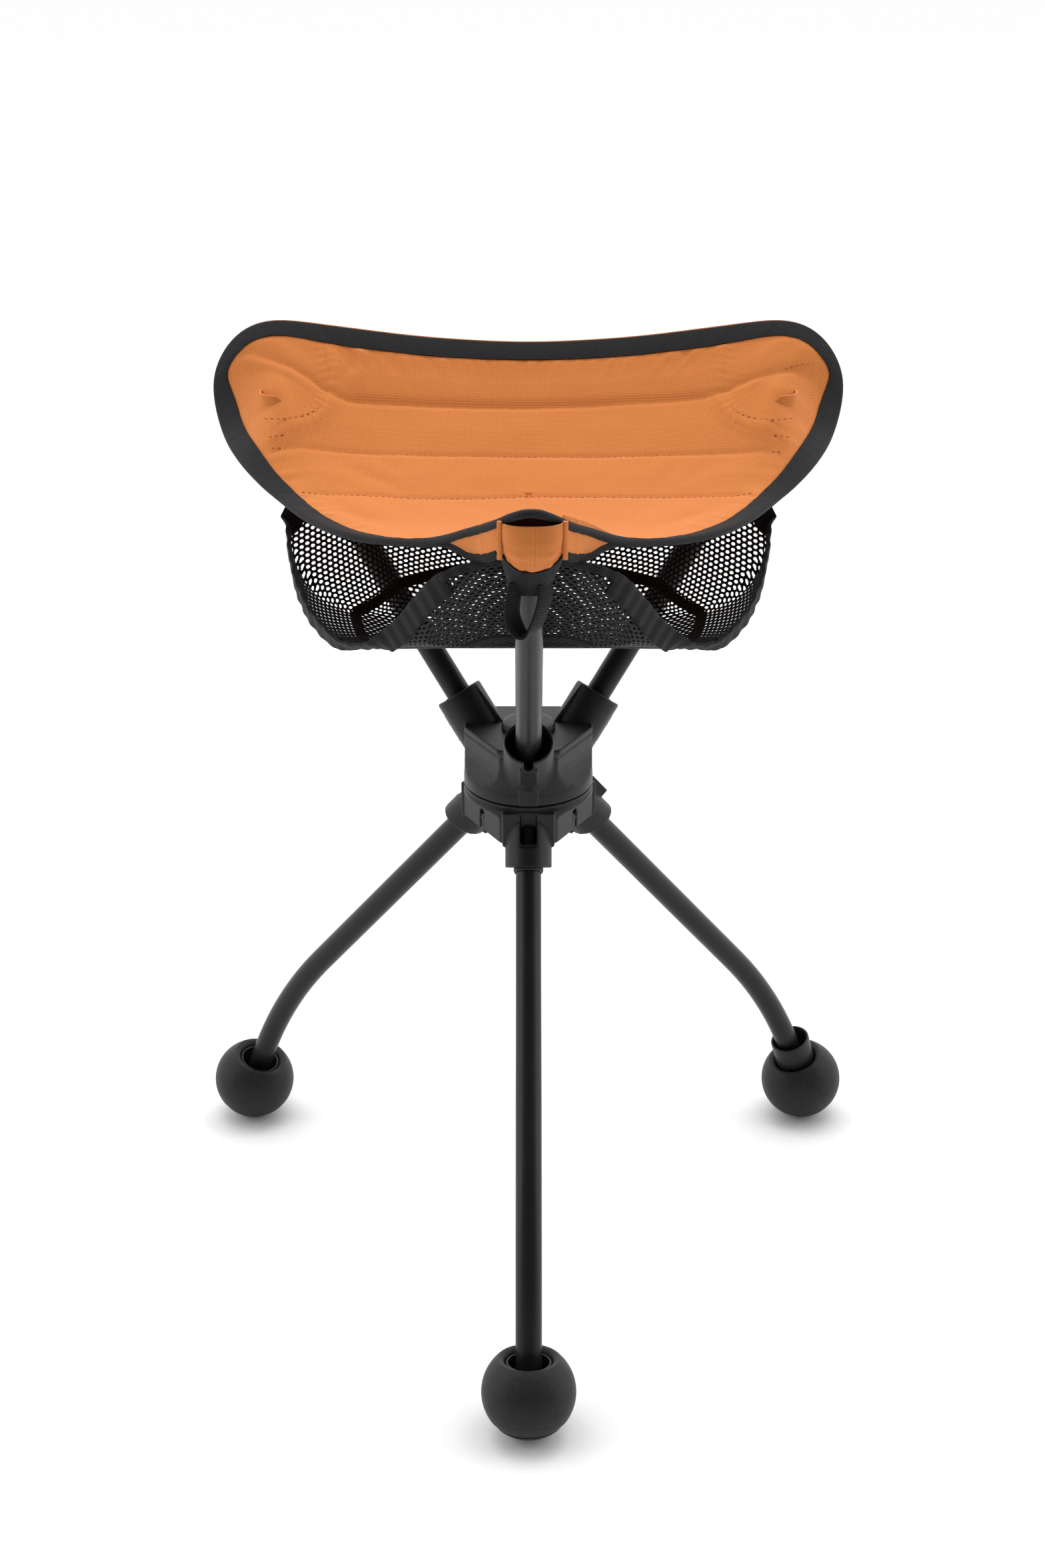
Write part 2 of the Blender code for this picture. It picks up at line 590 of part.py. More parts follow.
# ---------------------------------------------------------------- corner pockets over the arm tips
POCKET_OUT = 186.4
FLAT_FRAME = (np.zeros(3), np.array([1.0, 0, 0]), np.array([0, 0, 1.0]), np.array([0, -1.0, 0]))
for who, az in AZ.items():
    outer = temp(*prism([(150.0, 526.5), (POCKET_OUT + 1.2, 532.0), (POCKET_OUT + 1.2, 552.8), (180.0, 554.2), (170.0, 550.0), (150.0, 530.0)],
                        (-10.2, 10.2), FLAT_FRAME))
    inner = temp(*prism([(148.0, 510.0), (POCKET_OUT, 510.0), (POCKET_OUT, 551.6), (180.4, 552.9), (170.6, 548.8), (148.0, 526.2)],
                        (-9.0, 9.0), FLAT_FRAME))
    boolean(outer, [inner], "DIFFERENCE")
    piece("corner_pocket_" + who, outer, ORANGE, SEAT, az)
    loop_pts = prism([(-7.0, 0.0), (7.0, 0.0), (7.0, -46.0), (-7.0, -46.0)], (0.0, 2.4),
                     (np.array([POCKET_OUT + 1.6, 0, 548.0]), np.array([0, 1.0, 0]), np.array([0, 0, 1.0]), np.array([1.0, 0, 0])))
    piece("pull_loop_" + who, loop_pts, TAPE, SEAT, az)

# ---------------------------------------------------------------- net pouch hung under the seat
# Half of its upper edge from the middle of the back to the middle of the front.
POUCH = [(0, 92, 541), (-34, 88, 542), (-66, 78, 540), (-98, 64, 533), (-126, 50, 520), (-148, 30, 501), (-143, -14, 477), (-131, -45, 462),
         (-114, -67, 453), (-94, -93, 459), (-72, -118, 480), (-52, -143, 511), (-30, -146, 519), (0, -142, 521)]
P_EDGE = 40
FLOOR_RISE = 0.42


def sheet_z(x, y):
    """Height of the seat sheet over a point, or a large number beside it."""
    best = 1e9
    for j in range(RINGS):
        for k in range(N_EDGE):
            k2 = (k + 1) % N_EDGE
            for a, b, c in ((grid[j, k], grid[j + 1, k], grid[j + 1, k2]), (grid[j, k], grid[j + 1, k2], grid[j, k2])):
                d = (b[0] - a[0]) * (c[1] - a[1]) - (b[1] - a[1]) * (c[0] - a[0])
                if abs(d) < 1e-9:
                    continue
                u = ((x - a[0]) * (c[1] - a[1]) - (y - a[1]) * (c[0] - a[0])) / d
                v = ((b[0] - a[0]) * (y - a[1]) - (b[1] - a[1]) * (x - a[0])) / d
                if u >= -1e-6 and v >= -1e-6 and u + v <= 1 + 1e-6:
                    best = min(best, a[2] + u * (b[2] - a[2]) + v * (c[2] - a[2]))
    return best


P_C = np.array([0.0, -12.0, 420.0])
ploop = resample(catmull(POUCH + [(-x, y, z) for x, y, z in reversed(POUCH[1:-1])], 6), P_EDGE)
for q in ploop:
    q[2] = min(q[2], sheet_z(q[0], q[1]) - 6.5)


def pouch_point(k, t):
    """Bowl point on column k at height parameter t (0 bottom middle, 1 upper edge)."""
    top = ploop[k % P_EDGE]
    s = 1.0 - (1.0 - t) ** 2.3
    p = P_C + (top - P_C) * np.array([s, s, 0])
    p[2] = P_C[2] + (top[2] - P_C[2]) * t ** 1.7
    rise = P_C[2] + 1.0 + FLOOR_RISE * max(0.0, P_C[1] - p[1])      # the floor climbs towards the front
    p[2] = 0.5 * (p[2] + rise + math.hypot(p[2] - rise, 6.0))
    for az in AZ.values():
        a = math.radians(az)
        r = np.array([math.cos(a), math.sin(a)])
        along = p[0] * r[0] + p[1] * r[1]
        side = abs(-p[0] * r[1] + p[1] * r[0])
        limit = (p[2] - ARM_Z0) / ARM_SLOPE - 15.0 + 0.035 * max(0.0, side - 6.0) ** 1.6
        if along > limit and side < 60.0:
            p[:2] -= r * (along - limit)
    return p


def pouch_patch(columns, t0, t1, rows):
    pts, fcs = [], []
    for j in range(rows + 1):
        t = t0 + (t1 - t0) * j / rows
        for c in columns:
            pts.append(pouch_point(c, t))
    w = len(columns)
    for j in range(rows):
        for i in range(w - 1):
            a = j * w + i
            fcs.append((a, a + 1, a + w + 1, a + w))
    return pts, fcs


def shift_ends(pts, w, rows, amount):
    """Pulls the two side edges of a patch inwards so that neighbours keep a gap."""
    for j in range(rows + 1):
        for i, q in ((0, 1), (w - 1, w - 2)):
            d = unit(pts[j * w + q] - pts[j * w + i])
            pts[j * w + i] = pts[j * w + i] + d * amount
    return pts


LOW = int(np.argmin(ploop[: P_EDGE // 2, 2]))          # column of the left opening's lowest point
floor_rows = 3
pts = [P_C.copy()]
for j in range(1, floor_rows + 1):
    pts += [pouch_point(k, 0.42 * j / floor_rows) for k in range(P_EDGE)]
faces = []
for k in range(P_EDGE):
    k2 = (k + 1) % P_EDGE
    faces.append((0, 1 + k, 1 + k2))
    for j in range(1, floor_rows):
        a, b = 1 + (j - 1) * P_EDGE, 1 + j * P_EDGE
        faces.append((a + k, b + k, b + k2, a + k2))
piece("pouch_floor", thick(pts, faces, NET_T), NET, SEAT)
back = list(range(-LOW, LOW + 1))
front = list(range(LOW, P_EDGE - LOW + 1))
bp, bf = pouch_patch(back, 0.435, 0.985, 4)
piece("pouch_back_wall", thick(shift_ends(bp, len(back), 4, 1.2), bf, NET_T), NET, SEAT)
fp, ff = pouch_patch(front, 0.435, 0.985, 4)
piece("pouch_front_panel", thick(shift_ends(fp, len(front), 4, 1.2), ff, NET_T), NET, SEAT)


def rim_tape(columns, name):
    verts, faces = [], []
    for c in columns:
        hi, lo = ploop[c % P_EDGE], pouch_point(c, 0.985)
        tan = unit(ploop[(c + 1) % P_EDGE] - ploop[(c - 1) % P_EDGE])
        up = unit(hi - pouch_point(c, 0.9))
        nrm = unit(np.cross(tan, up))
        base = lo + up * 1.0
        for p in (base, base + up * 8.0):
            verts.append(p + nrm * 1.3)
            verts.append(p - nrm * 1.3)
    n = len(columns)
    for i in range(n - 1):
        a, b = 4 * i, 4 * (i + 1)
        faces += [(a, b, b + 2, a + 2), (a + 2, b + 2, b + 3, a + 3), (a + 3, b + 3, b + 1, a + 1), (a + 1, b + 1, b, a)]
    faces += [(0, 1, 3, 2), (4 * n - 4, 4 * n - 2, 4 * n - 1, 4 * n - 3)]
    piece(name, (verts, faces), TAPE, SEAT)


side0 = 8
side1 = 17
rim_tape(list(range(side0, side1 + 1)), "pouch_rim_left")
rim_tape(list(range(P_EDGE - side1, P_EDGE - side0 + 1)), "pouch_rim_right")
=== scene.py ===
"""Looks of the three-legged swivel stool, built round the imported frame.

Shapes are written in millimetres about the swivel axis, which stands at
(0, AXIS_Y) in the row frame, and scaled to metres when a mesh is made.
"""
import json
import math

import bmesh
import bpy
import numpy as np
from mathutils import Matrix, Vector

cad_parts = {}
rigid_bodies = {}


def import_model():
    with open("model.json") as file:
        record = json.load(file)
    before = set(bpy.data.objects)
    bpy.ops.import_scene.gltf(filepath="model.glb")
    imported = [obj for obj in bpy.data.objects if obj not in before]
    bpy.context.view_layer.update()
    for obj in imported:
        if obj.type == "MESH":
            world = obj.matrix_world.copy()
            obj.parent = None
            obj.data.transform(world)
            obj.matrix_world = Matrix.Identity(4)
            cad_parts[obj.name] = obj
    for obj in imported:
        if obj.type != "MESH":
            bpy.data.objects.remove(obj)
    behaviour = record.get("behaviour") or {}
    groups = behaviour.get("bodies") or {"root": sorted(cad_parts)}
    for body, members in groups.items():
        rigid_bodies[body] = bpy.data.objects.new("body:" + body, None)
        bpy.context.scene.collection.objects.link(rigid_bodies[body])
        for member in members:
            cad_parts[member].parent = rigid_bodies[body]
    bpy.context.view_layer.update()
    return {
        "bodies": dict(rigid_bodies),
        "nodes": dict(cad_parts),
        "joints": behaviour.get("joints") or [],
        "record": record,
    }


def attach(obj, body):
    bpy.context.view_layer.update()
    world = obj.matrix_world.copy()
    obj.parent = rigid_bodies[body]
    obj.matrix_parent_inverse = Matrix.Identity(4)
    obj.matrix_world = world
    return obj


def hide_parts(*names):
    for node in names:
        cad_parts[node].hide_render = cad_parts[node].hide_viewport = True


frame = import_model()

# ---------------------------------------------------------------- dimensions, mm
MM = 0.001
AXIS_Y = 58.45
AZ = {"front": 270.0, "rear_left": 150.0, "rear_right": 30.0}
TUBE_R, TUBE_RI = 8.0, 6.8
FOOT_RHO, BALL_R, BALL_Z = 233.8, 28.8, 28.3
LEG_Z0, LEG_SLOPE, LEG_TOP_RHO, LEG_BEND_RHO, LEG_BEND_R, LEG_END_ANGLE = 343.8, 1.17, 27.0, 168.2, 320.0, 22.0
ARM_Z0, ARM_SLOPE, ARM_START_RHO, ARM_END_RHO = 308.4, 1.312, 22.3, 176.0
SLEEVE_RHO, SLEEVE_R, SOCKET_RHO, SOCKET_R = 52.0, 15.5, 47.7, 14.7
SEAM_Z, HUB_R, HUB_FLAT, TOP_Z = 327.0, 41.2, 34.2, 363.5
COLLAR_LEN, COLLAR_TOP, COLLAR_RAISE = 20.0, 19.3, 20.0
FOOT_TILT = {"front": -9.0, "rear_left": -4.0, "rear_right": -4.0}


# ---------------------------------------------------------------- helpers
def unit(v):
    v = np.asarray(v, float)
    return v / np.linalg.norm(v)


ARM_DIR = unit((1.0, 0.0, ARM_SLOPE))
LEG_DIR = unit((1.0, 0.0, -LEG_SLOPE))


def arm_z(rho):
    return ARM_Z0 + ARM_SLOPE * rho


def leg_z(rho):
    return LEG_Z0 - LEG_SLOPE * rho


def turn(v, az):
    """Turns millimetre points about the swivel axis."""
    v = np.asarray(v, float).reshape(-1, 3)
    a = math.radians(az)
    out = v.copy()
    out[:, 0] = v[:, 0] * math.cos(a) - v[:, 1] * math.sin(a)
    out[:, 1] = v[:, 0] * math.sin(a) + v[:, 1] * math.cos(a)
    return out


def finish_mesh(ob, mat, body, nodes=(), sharp=40.0):
    me = ob.data
    me.materials.clear()
    me.materials.append(mat)
    me.shade_smooth()
    me.set_sharp_from_angle(angle=math.radians(sharp))
    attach(ob, body)
    if nodes:
        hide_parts(*nodes)
    return ob


def set_uv(me, uv, period=None):
    """Fabric coordinates in millimetres, per vertex, carried across the seam of a closed band."""
    layer = me.uv_layers.new(name="cloth")
    loops = np.zeros(len(me.loops), np.int32)
    me.loops.foreach_get("vertex_index", loops)
    co = np.asarray(uv, float)[loops]
    if period:
        starts = np.zeros(len(me.polygons), np.int32)
        totals = np.zeros(len(me.polygons), np.int32)
        me.polygons.foreach_get("loop_start", starts)
        me.polygons.foreach_get("loop_total", totals)
        owner = np.repeat(np.arange(len(starts)), totals)
        top = np.full(len(starts), -1e9)
        np.maximum.at(top, owner, co[:, 0])
        co[:, 0] += np.where(top[owner] - co[:, 0] > period / 2, period, 0.0)
    layer.data.foreach_set("uv", (co * MM * 100.0).ravel())


def make(name, verts, faces, mat, body, nodes=(), slot=None, az=0.0, sharp=40.0, uv=None, period=None, outward=True):
    """One piece from millimetre points about the swivel axis, turned to its azimuth."""
    v = turn(verts, az)
    v[:, 1] += AXIS_Y
    me = bpy.data.meshes.new(name)
    me.from_pydata((v * MM).tolist(), [], [tuple(int(i) for i in f) for f in faces])
    if outward:
        bm = bmesh.new()
        bm.from_mesh(me)
        bmesh.ops.recalc_face_normals(bm, faces=bm.faces)
        bm.to_mesh(me)
        bm.free()
    if uv is not None:
        set_uv(me, uv, period)
    ob = bpy.data.objects.new(name, me)
    bpy.context.scene.collection.objects.link(ob)
    return finish_mesh(ob, mat, body, nodes, sharp)


def axis_frame(origin, direction):
    w = unit(direction)
    v = np.array([0.0, 1.0, 0.0])
    return np.asarray(origin, float), np.cross(v, w), v, w


Z_FRAME = (np.zeros(3), np.array([1.0, 0, 0]), np.array([0, 1.0, 0]), np.array([0, 0, 1.0]))
ARM_FRAME = axis_frame((SLEEVE_RHO, 0, arm_z(SLEEVE_RHO)), ARM_DIR)
LEG_FRAME = axis_frame((SOCKET_RHO, 0, leg_z(SOCKET_RHO)), LEG_DIR)


def revolve(profile, n, frame=Z_FRAME, closed=False):
    o, u, v, w = frame
    verts, rows = [], []
    ang = 2 * math.pi * (np.arange(n) + 0.5) / n
    for r, h in profile:
        if r < 1e-6:
            rows.append([len(verts)])
            verts.append(o + w * h)
        else:
            rows.append(list(range(len(verts), len(verts) + n)))
            verts += [o + u * (r * math.cos(a)) + v * (r * math.sin(a)) + w * h for a in ang]
    faces = []
    for i in range(len(rows) if closed else len(rows) - 1):
        a, b = rows[i], rows[(i + 1) % len(rows)]
        for k in range(n):
            k2 = (k + 1) % n
            if len(a) == 1 and len(b) == 1:
                continue
            if len(a) == 1:
                faces.append((a[0], b[k], b[k2]))
            elif len(b) == 1:
                faces.append((a[k], b[0], a[k2]))
            else:
                faces.append((a[k], b[k], b[k2], a[k2]))
    return verts, faces


def rounded(profile, r, steps=4, keep=(), closed=False):
    """Rounds the corners of a turned profile, leaving the listed ones sharp."""
    p = [np.array(q, float) for q in profile]
    n = len(p)
    out = []
    for i in range(n):
        if (not closed and i in (0, n - 1)) or i in keep:
            out.append(tuple(p[i]))
            continue
        a, b, c = p[(i - 1) % n], p[i], p[(i + 1) % n]
        la, lc = np.linalg.norm(a - b), np.linalg.norm(c - b)
        ua, uc = (a - b) / la, (c - b) / lc
        if ua @ uc < -0.985:
            out.append(tuple(b))
            continue
        d = min(r, 0.45 * la, 0.45 * lc)
        s, e = b + ua * d, b + uc * d
        for k in range(steps + 1):
            t = k / steps
            out.append(tuple((1 - t) ** 2 * s + 2 * t * (1 - t) * b + t * t * e))
    return out


def sphere_arc(r, p0, p1, n):
    return [(r * math.sin(math.radians(p0 + (p1 - p0) * i / n)), r * math.cos(math.radians(p0 + (p1 - p0) * i / n)))
            for i in range(n + 1)]


def rod(r, h0, h1, n, frame):
    return revolve([(0, h0), (r, h0), (r, h1), (0, h1)], n, frame)


def box(x0, x1, y0, y1, z0, z1):
    v = [(x, y, z) for x in (x0, x1) for y in (y0, y1) for z in (z0, z1)]
    return v, [(0, 1, 3, 2), (4, 6, 7, 5), (0, 4, 5, 1), (2, 3, 7, 6), (0, 2, 6, 4), (1, 5, 7, 3)]


def turned(src, az):
    return turn(src[0], az), src[1]


def prism(points, h, frame):
    o, u, v, w = frame
    n = len(points)
    verts = [o + u * p[0] + v * p[1] + w * h[0] for p in points] + [o + u * p[0] + v * p[1] + w * h[1] for p in points]
    faces = [tuple(range(n)), tuple(range(2 * n - 1, n - 1, -1))]
    faces += [(k, n + k, n + (k + 1) % n, (k + 1) % n) for k in range(n)]
    return verts, faces


def temp(verts, faces):
    """A throw-away solid in millimetres for booleans."""
    me = bpy.data.meshes.new("tmp")
    me.from_pydata([tuple(float(c) for c in v) for v in verts], [], [tuple(int(i) for i in f) for f in faces])
    bm = bmesh.new()
    bm.from_mesh(me)
    bmesh.ops.recalc_face_normals(bm, faces=bm.faces)
    bm.to_mesh(me)
    bm.free()
    ob = bpy.data.objects.new("tmp", me)
    bpy.context.scene.collection.objects.link(ob)
    return ob


def apply_modifiers(ob):
    dg = bpy.context.evaluated_depsgraph_get()
    me = bpy.data.meshes.new_from_object(ob.evaluated_get(dg))
    ob.modifiers.clear()
    old = ob.data
    ob.data = me
    bpy.data.meshes.remove(old)
    return ob


def boolean(base, tools, op):
    for t in tools:
        m = base.modifiers.new("b", "BOOLEAN")
        m.operation, m.solver, m.object = op, "EXACT", t
        apply_modifiers(base)
        bpy.data.objects.remove(t, do_unlink=True)
    return base


def moulded(base, name, mat, body, nodes, voxel, times):
    """Remeshes a boolean solid finely and relaxes it, so that its corners get moulded radii."""
    m = base.modifiers.new("r", "REMESH")
    m.mode, m.voxel_size, m.adaptivity = "VOXEL", voxel, 0.0
    apply_modifiers(base)
    m = base.modifiers.new("s", "SMOOTH")
    m.factor, m.iterations = 0.5, times
    apply_modifiers(base)
    me = base.data
    me.transform(Matrix.Translation((0, AXIS_Y * MM, 0)) @ Matrix.Scale(MM, 4))
    ob = bpy.data.objects.new(name, me)
    bpy.context.scene.collection.objects.link(ob)
    bpy.data.objects.remove(base, do_unlink=True)
    return finish_mesh(ob, mat, body, nodes, sharp=60.0)


def thick(points, faces, t, lift=0.0):
    """Closed shell about an open surface: t thick, its middle lifted along the normals."""
    p = np.asarray(points, float)
    fa = np.array([f if len(f) == 4 else (f[0], f[1], f[2], f[2]) for f in faces])
    nn = np.cross(p[fa[:, 2]] - p[fa[:, 0]], p[fa[:, 3]] - p[fa[:, 1]])
    nrm = np.zeros_like(p)
    for i in range(4):
        np.add.at(nrm, fa[:, i], nn)
    nrm /= np.maximum(np.linalg.norm(nrm, axis=1), 1e-9)[:, None]
    n = len(p)
    verts = np.vstack([p + nrm * (lift + t / 2), p + nrm * (lift - t / 2)])
    out = [tuple(f) for f in faces] + [tuple(n + i for i in reversed(f)) for f in faces]
    count = {}
    for f in faces:
        for i in range(len(f)):
            a, b = f[i], f[(i + 1) % len(f)]
            key = (a, b) if a < b else (b, a)
            count[key] = None if key in count else (a, b)
    for uses in count.values():
        if uses is not None:
            a, b = uses
            out.append((b, a, n + a, n + b))
    return verts, out


def grid_faces(rows, cols, wrap=False):
    out = []
    for j in range(rows - 1):
        for i in range(cols if wrap else cols - 1):
            a, b = j * cols + i, j * cols + (i + 1) % cols
            out.append((a, b, b + cols, a + cols))
    return out


def band(line, normals, width, t, name, mat, body, nodes=(), slot=None, az=0.0, crown=0.0, closed=False, sides=None):
    """Flat woven tape along a line.  normals face out of the tape; width runs across them and the line."""
    line = np.asarray(line, float)
    n = len(line)
    nr = np.asarray(normals, float)
    if nr.ndim == 1:
        nr = np.tile(nr, (n, 1))
    tan = np.roll(line, -1, 0) - np.roll(line, 1, 0)
    if not closed:
        tan[0], tan[-1] = line[1] - line[0], line[-1] - line[-2]
    tan /= np.linalg.norm(tan, axis=1)[:, None]
    nr = nr - tan * (nr * tan).sum(1)[:, None]
    nr /= np.linalg.norm(nr, axis=1)[:, None]
    side = np.cross(tan, nr)
    s = np.concatenate([[0], np.cumsum(np.linalg.norm(np.diff(line, axis=0), axis=1))])
    h = width / 2
    e = min(t * 0.5, 0.9)
    section = [(-h, -t / 2 + e * 0.5), (-h, t / 2 - e * 0.5), (-h + e, t / 2)]
    section += [(q * (h - e) * 2 - (h - e), t / 2 + crown * (1 - (2 * q - 1) ** 2)) for q in (0.2, 0.4, 0.6, 0.8)]
    section += [(h - e, t / 2), (h, t / 2 - e * 0.5), (h, -t / 2 + e * 0.5), (h - e, -t / 2), (-h + e, -t / 2)]
    m = len(section)
    scale = np.ones(n) if sides is None else np.asarray(sides, float)
    verts, uv = [], []
    for i in range(n):
        for a, b in section:
            verts.append(line[i] + side[i] * a * scale[i] + nr[i] * b)
            uv.append((s[i], a + (0 if b > 0 else 2 * h)))
    faces = grid_faces(n, m, wrap=True)
    if closed:
        base = (n - 1) * m
        faces += [(base + k, base + (k + 1) % m, (k + 1) % m, k) for k in range(m)]
    else:
        faces += [tuple(range(m)), tuple((n - 1) * m + k for k in reversed(range(m)))]
    period = s[-1] + np.linalg.norm(line[0] - line[-1]) if closed else None
    return make(name, verts, faces, mat, body, nodes, slot, az, uv=uv, period=period)


# ---------------------------------------------------------------- materials
def base_material(name, colour, rough, **inputs):
    m = bpy.data.materials.new(name)
    m.use_nodes = True
    nt = m.node_tree
    b = nt.nodes["Principled BSDF"]
    b.inputs["Base Color"].default_value = (*colour, 1.0)
    b.inputs["Roughness"].default_value = rough
    for key, value in inputs.items():
        b.inputs[key.replace("_", " ")].default_value = value
    m.diffuse_color = (*colour, 1.0)
    return m, nt, b


class Net:
    """Small helper for building node networks."""

    def __init__(self, nt):
        self.nt = nt

    def node(self, kind, **props):
        n = self.nt.nodes.new(kind)
        for k, v in props.items():
            setattr(n, k, v)
        return n

    def link(self, a, b):
        self.nt.links.new(a, b)

    def math(self, op, a, b=None, c=None):
        n = self.node("ShaderNodeMath", operation=op)
        for i, x in enumerate((a, b, c)):
            if x is None:
                continue
            if isinstance(x, (int, float)):
                n.inputs[i].default_value = x
            else:
                self.link(x, n.inputs[i])
        return n.outputs[0]

    def coords(self, kind="Object"):
        return self.node("ShaderNodeTexCoord").outputs[kind]

    def noise(self, vec, scale, detail=2.0, rough=0.5):
        n = self.node("ShaderNodeTexNoise")
        self.link(vec, n.inputs["Vector"])
        n.inputs["Scale"].default_value = scale
        n.inputs["Detail"].default_value = detail
        n.inputs["Roughness"].default_value = rough
        return n.outputs["Fac"]

    def ramp(self, fac, stops):
        n = self.node("ShaderNodeValToRGB")
        el = n.color_ramp.elements
        while len(el) < len(stops):
            el.new(0.5)
        for e, (pos, colour) in zip(el, stops):
            e.position = pos
            e.color = (*colour, 1.0) if len(colour) == 3 else colour
        self.link(fac, n.inputs["Fac"])
        return n.outputs["Color"]

    def span(self, fac, low, high):
        n = self.node("ShaderNodeMapRange")
        self.link(fac, n.inputs["Value"])
        n.inputs["To Min"].default_value = low
        n.inputs["To Max"].default_value = high
        return n.outputs["Result"]

    def bump(self, height, distance, strength=1.0, normal=None):
        n = self.node("ShaderNodeBump")
        n.inputs["Strength"].default_value = strength
        n.inputs["Distance"].default_value = distance
        self.link(height, n.inputs["Height"])
        if normal is not None:
            self.link(normal, n.inputs["Normal"])
        return n.outputs["Normal"]

    def mix(self, fac, a, b):
        n = self.node("ShaderNodeMix", data_type="RGBA")
        if isinstance(fac, (int, float)):
            n.inputs["Factor"].default_value = fac
        else:
            self.link(fac, n.inputs["Factor"])
        for sock, x in ((n.inputs[6], a), (n.inputs[7], b)):
            if isinstance(x, tuple):
                sock.default_value = (*x, 1.0)
            else:
                self.link(x, sock)
        return n.outputs[2]


def powder_coat():
    """Satin black powder coat: a fine orange peel and barely uneven gloss."""
    m, nt, b = base_material("powder_coat", (0.009, 0.009, 0.0095), 0.34, Specular_IOR_Level=0.21, Coat_Weight=0.0, Coat_Roughness=0.25)
    n = Net(nt)
    co = n.coords()
    peel = n.noise(co, 1100.0, 2.0)
    n.link(n.bump(peel, 0.00005, 0.55), b.inputs["Normal"])
    n.link(n.span(n.noise(co, 45.0, 3.0), 0.30, 0.40), b.inputs["Roughness"])
    n.link(n.ramp(n.noise(co, 26.0, 3.0), [(0.3, (0.0075, 0.0075, 0.008)), (0.7, (0.011, 0.011, 0.0115))]), b.inputs["Base Color"])
    return m


def moulded_nylon():
    """Black glass-filled nylon: fine spark-eroded grain, faint flow marks, and a painted highlight that makes convex
    edges a shade lighter.
    """
    m, nt, b = base_material("moulded_nylon", (0.018, 0.018, 0.019), 0.42, Specular_IOR_Level=0.21)
    n = Net(nt)
    co = n.coords()
    grain = n.noise(co, 2600.0, 2.0, 0.6)
    flow = n.noise(co, 60.0, 3.0)
    first = n.bump(grain, 0.00004, 0.5)
    n.link(n.bump(flow, 0.0003, 0.12, first), b.inputs["Normal"])
    n.link(n.span(n.noise(co, 160.0, 3.0), 0.36, 0.48), b.inputs["Roughness"])
    # painted highlight: convex edges, found by pointiness, are mixed towards a lighter grey where they would catch the
    # light
    edge = n.ramp(n.node("ShaderNodeNewGeometry").outputs["Pointiness"], [(0.50, (0.0, 0.0, 0.0)), (0.60, (1.0, 1.0, 1.0))])
    body = n.ramp(flow, [(0.3, (0.0095, 0.0095, 0.010)), (0.7, (0.0135, 0.0135, 0.014))])
    n.link(n.mix(edge, body, (0.024, 0.024, 0.025)), b.inputs["Base Color"])
    return m


def foot_rubber():
    """Matt black moulded foot, with faint scuffs."""
    m, nt, b = base_material("foot_rubber", (0.022, 0.022, 0.022), 0.5, Specular_IOR_Level=0.18)
    n = Net(nt)
    co = n.coords()
    first = n.bump(n.noise(co, 2000.0, 2.0, 0.6), 0.00004, 0.6)
    scuff = n.noise(co, 340.0, 4.0, 0.7)
    n.link(n.bump(scuff, 0.00006, 0.25, first), b.inputs["Normal"])
    n.link(n.ramp(scuff, [(0.35, (0.013, 0.013, 0.013)), (0.72, (0.020, 0.020, 0.0195))]), b.inputs["Base Color"])
    n.link(n.span(n.noise(co, 90.0, 3.0), 0.44, 0.56), b.inputs["Roughness"])
    return m


def woven(name, dark, mid, light, pitch, rough, depth, sheen=0.0, twill=0.0, fleck=0.25, angle=0.0):
    """Woven cloth in its own millimetre coordinates: over and under threads, uneven yarns, fine fuzz."""
    m, nt, b = base_material(name, mid, rough, Specular_IOR_Level=0.09, Sheen_Weight=sheen, Sheen_Roughness=0.45)
    n = Net(nt)
    uv = n.node("ShaderNodeUVMap", uv_map="cloth").outputs["UV"]
    mapping = n.node("ShaderNodeMapping")
    mapping.inputs["Rotation"].default_value = (0, 0, math.radians(angle))
    n.link(uv, mapping.inputs["Vector"])
    wob = n.node("ShaderNodeTexNoise")
    n.link(mapping.outputs[0], wob.inputs["Vector"])
    wob.inputs["Scale"].default_value = 1.1
    wob.inputs["Detail"].default_value = 2.0
    sep = n.node("ShaderNodeSeparateXYZ")
    n.link(mapping.outputs[0], sep.inputs[0])
    k = 2 * math.pi / (pitch * 0.1)
    drift = n.math("MULTIPLY", wob.outputs["Fac"], 2.2)
    x = n.math("ADD", n.math("MULTIPLY", sep.outputs[0], k), drift)
    y = n.math("ADD", n.math("MULTIPLY", sep.outputs[1], k), drift)
    if twill:
        y = n.math("ADD", y, n.math("MULTIPLY", x, twill))
    weave = n.math("MULTIPLY", n.math("SINE", n.math("MULTIPLY", x, 0.5)), n.math("SINE", n.math("MULTIPLY", y, 0.5)))
    weave = n.math("ABSOLUTE", weave)
    check = n.math("MULTIPLY", n.math("SINE", x), n.math("SINE", y))
    height = n.math("ADD", weave, n.math("MULTIPLY", check, 0.35))
    uneven = n.noise(mapping.outputs[0], 9.0, 4.0, 0.7)
    height2 = n.math("ADD", height, n.math("MULTIPLY", uneven, 0.5))
    n.link(n.bump(height2, depth * MM, 0.8), b.inputs["Normal"])
    tone = n.math("ADD", n.math("MULTIPLY", height, 0.75), n.math("MULTIPLY", uneven, fleck))
    cloudy = n.noise(n.coords(), 16.0, 3.0)
    tone = n.math("ADD", tone, n.math("MULTIPLY", cloudy, 0.16))
    n.link(n.ramp(tone, [(0.12, dark), (0.5, mid), (0.92, light)]), b.inputs["Base Color"])
    return m


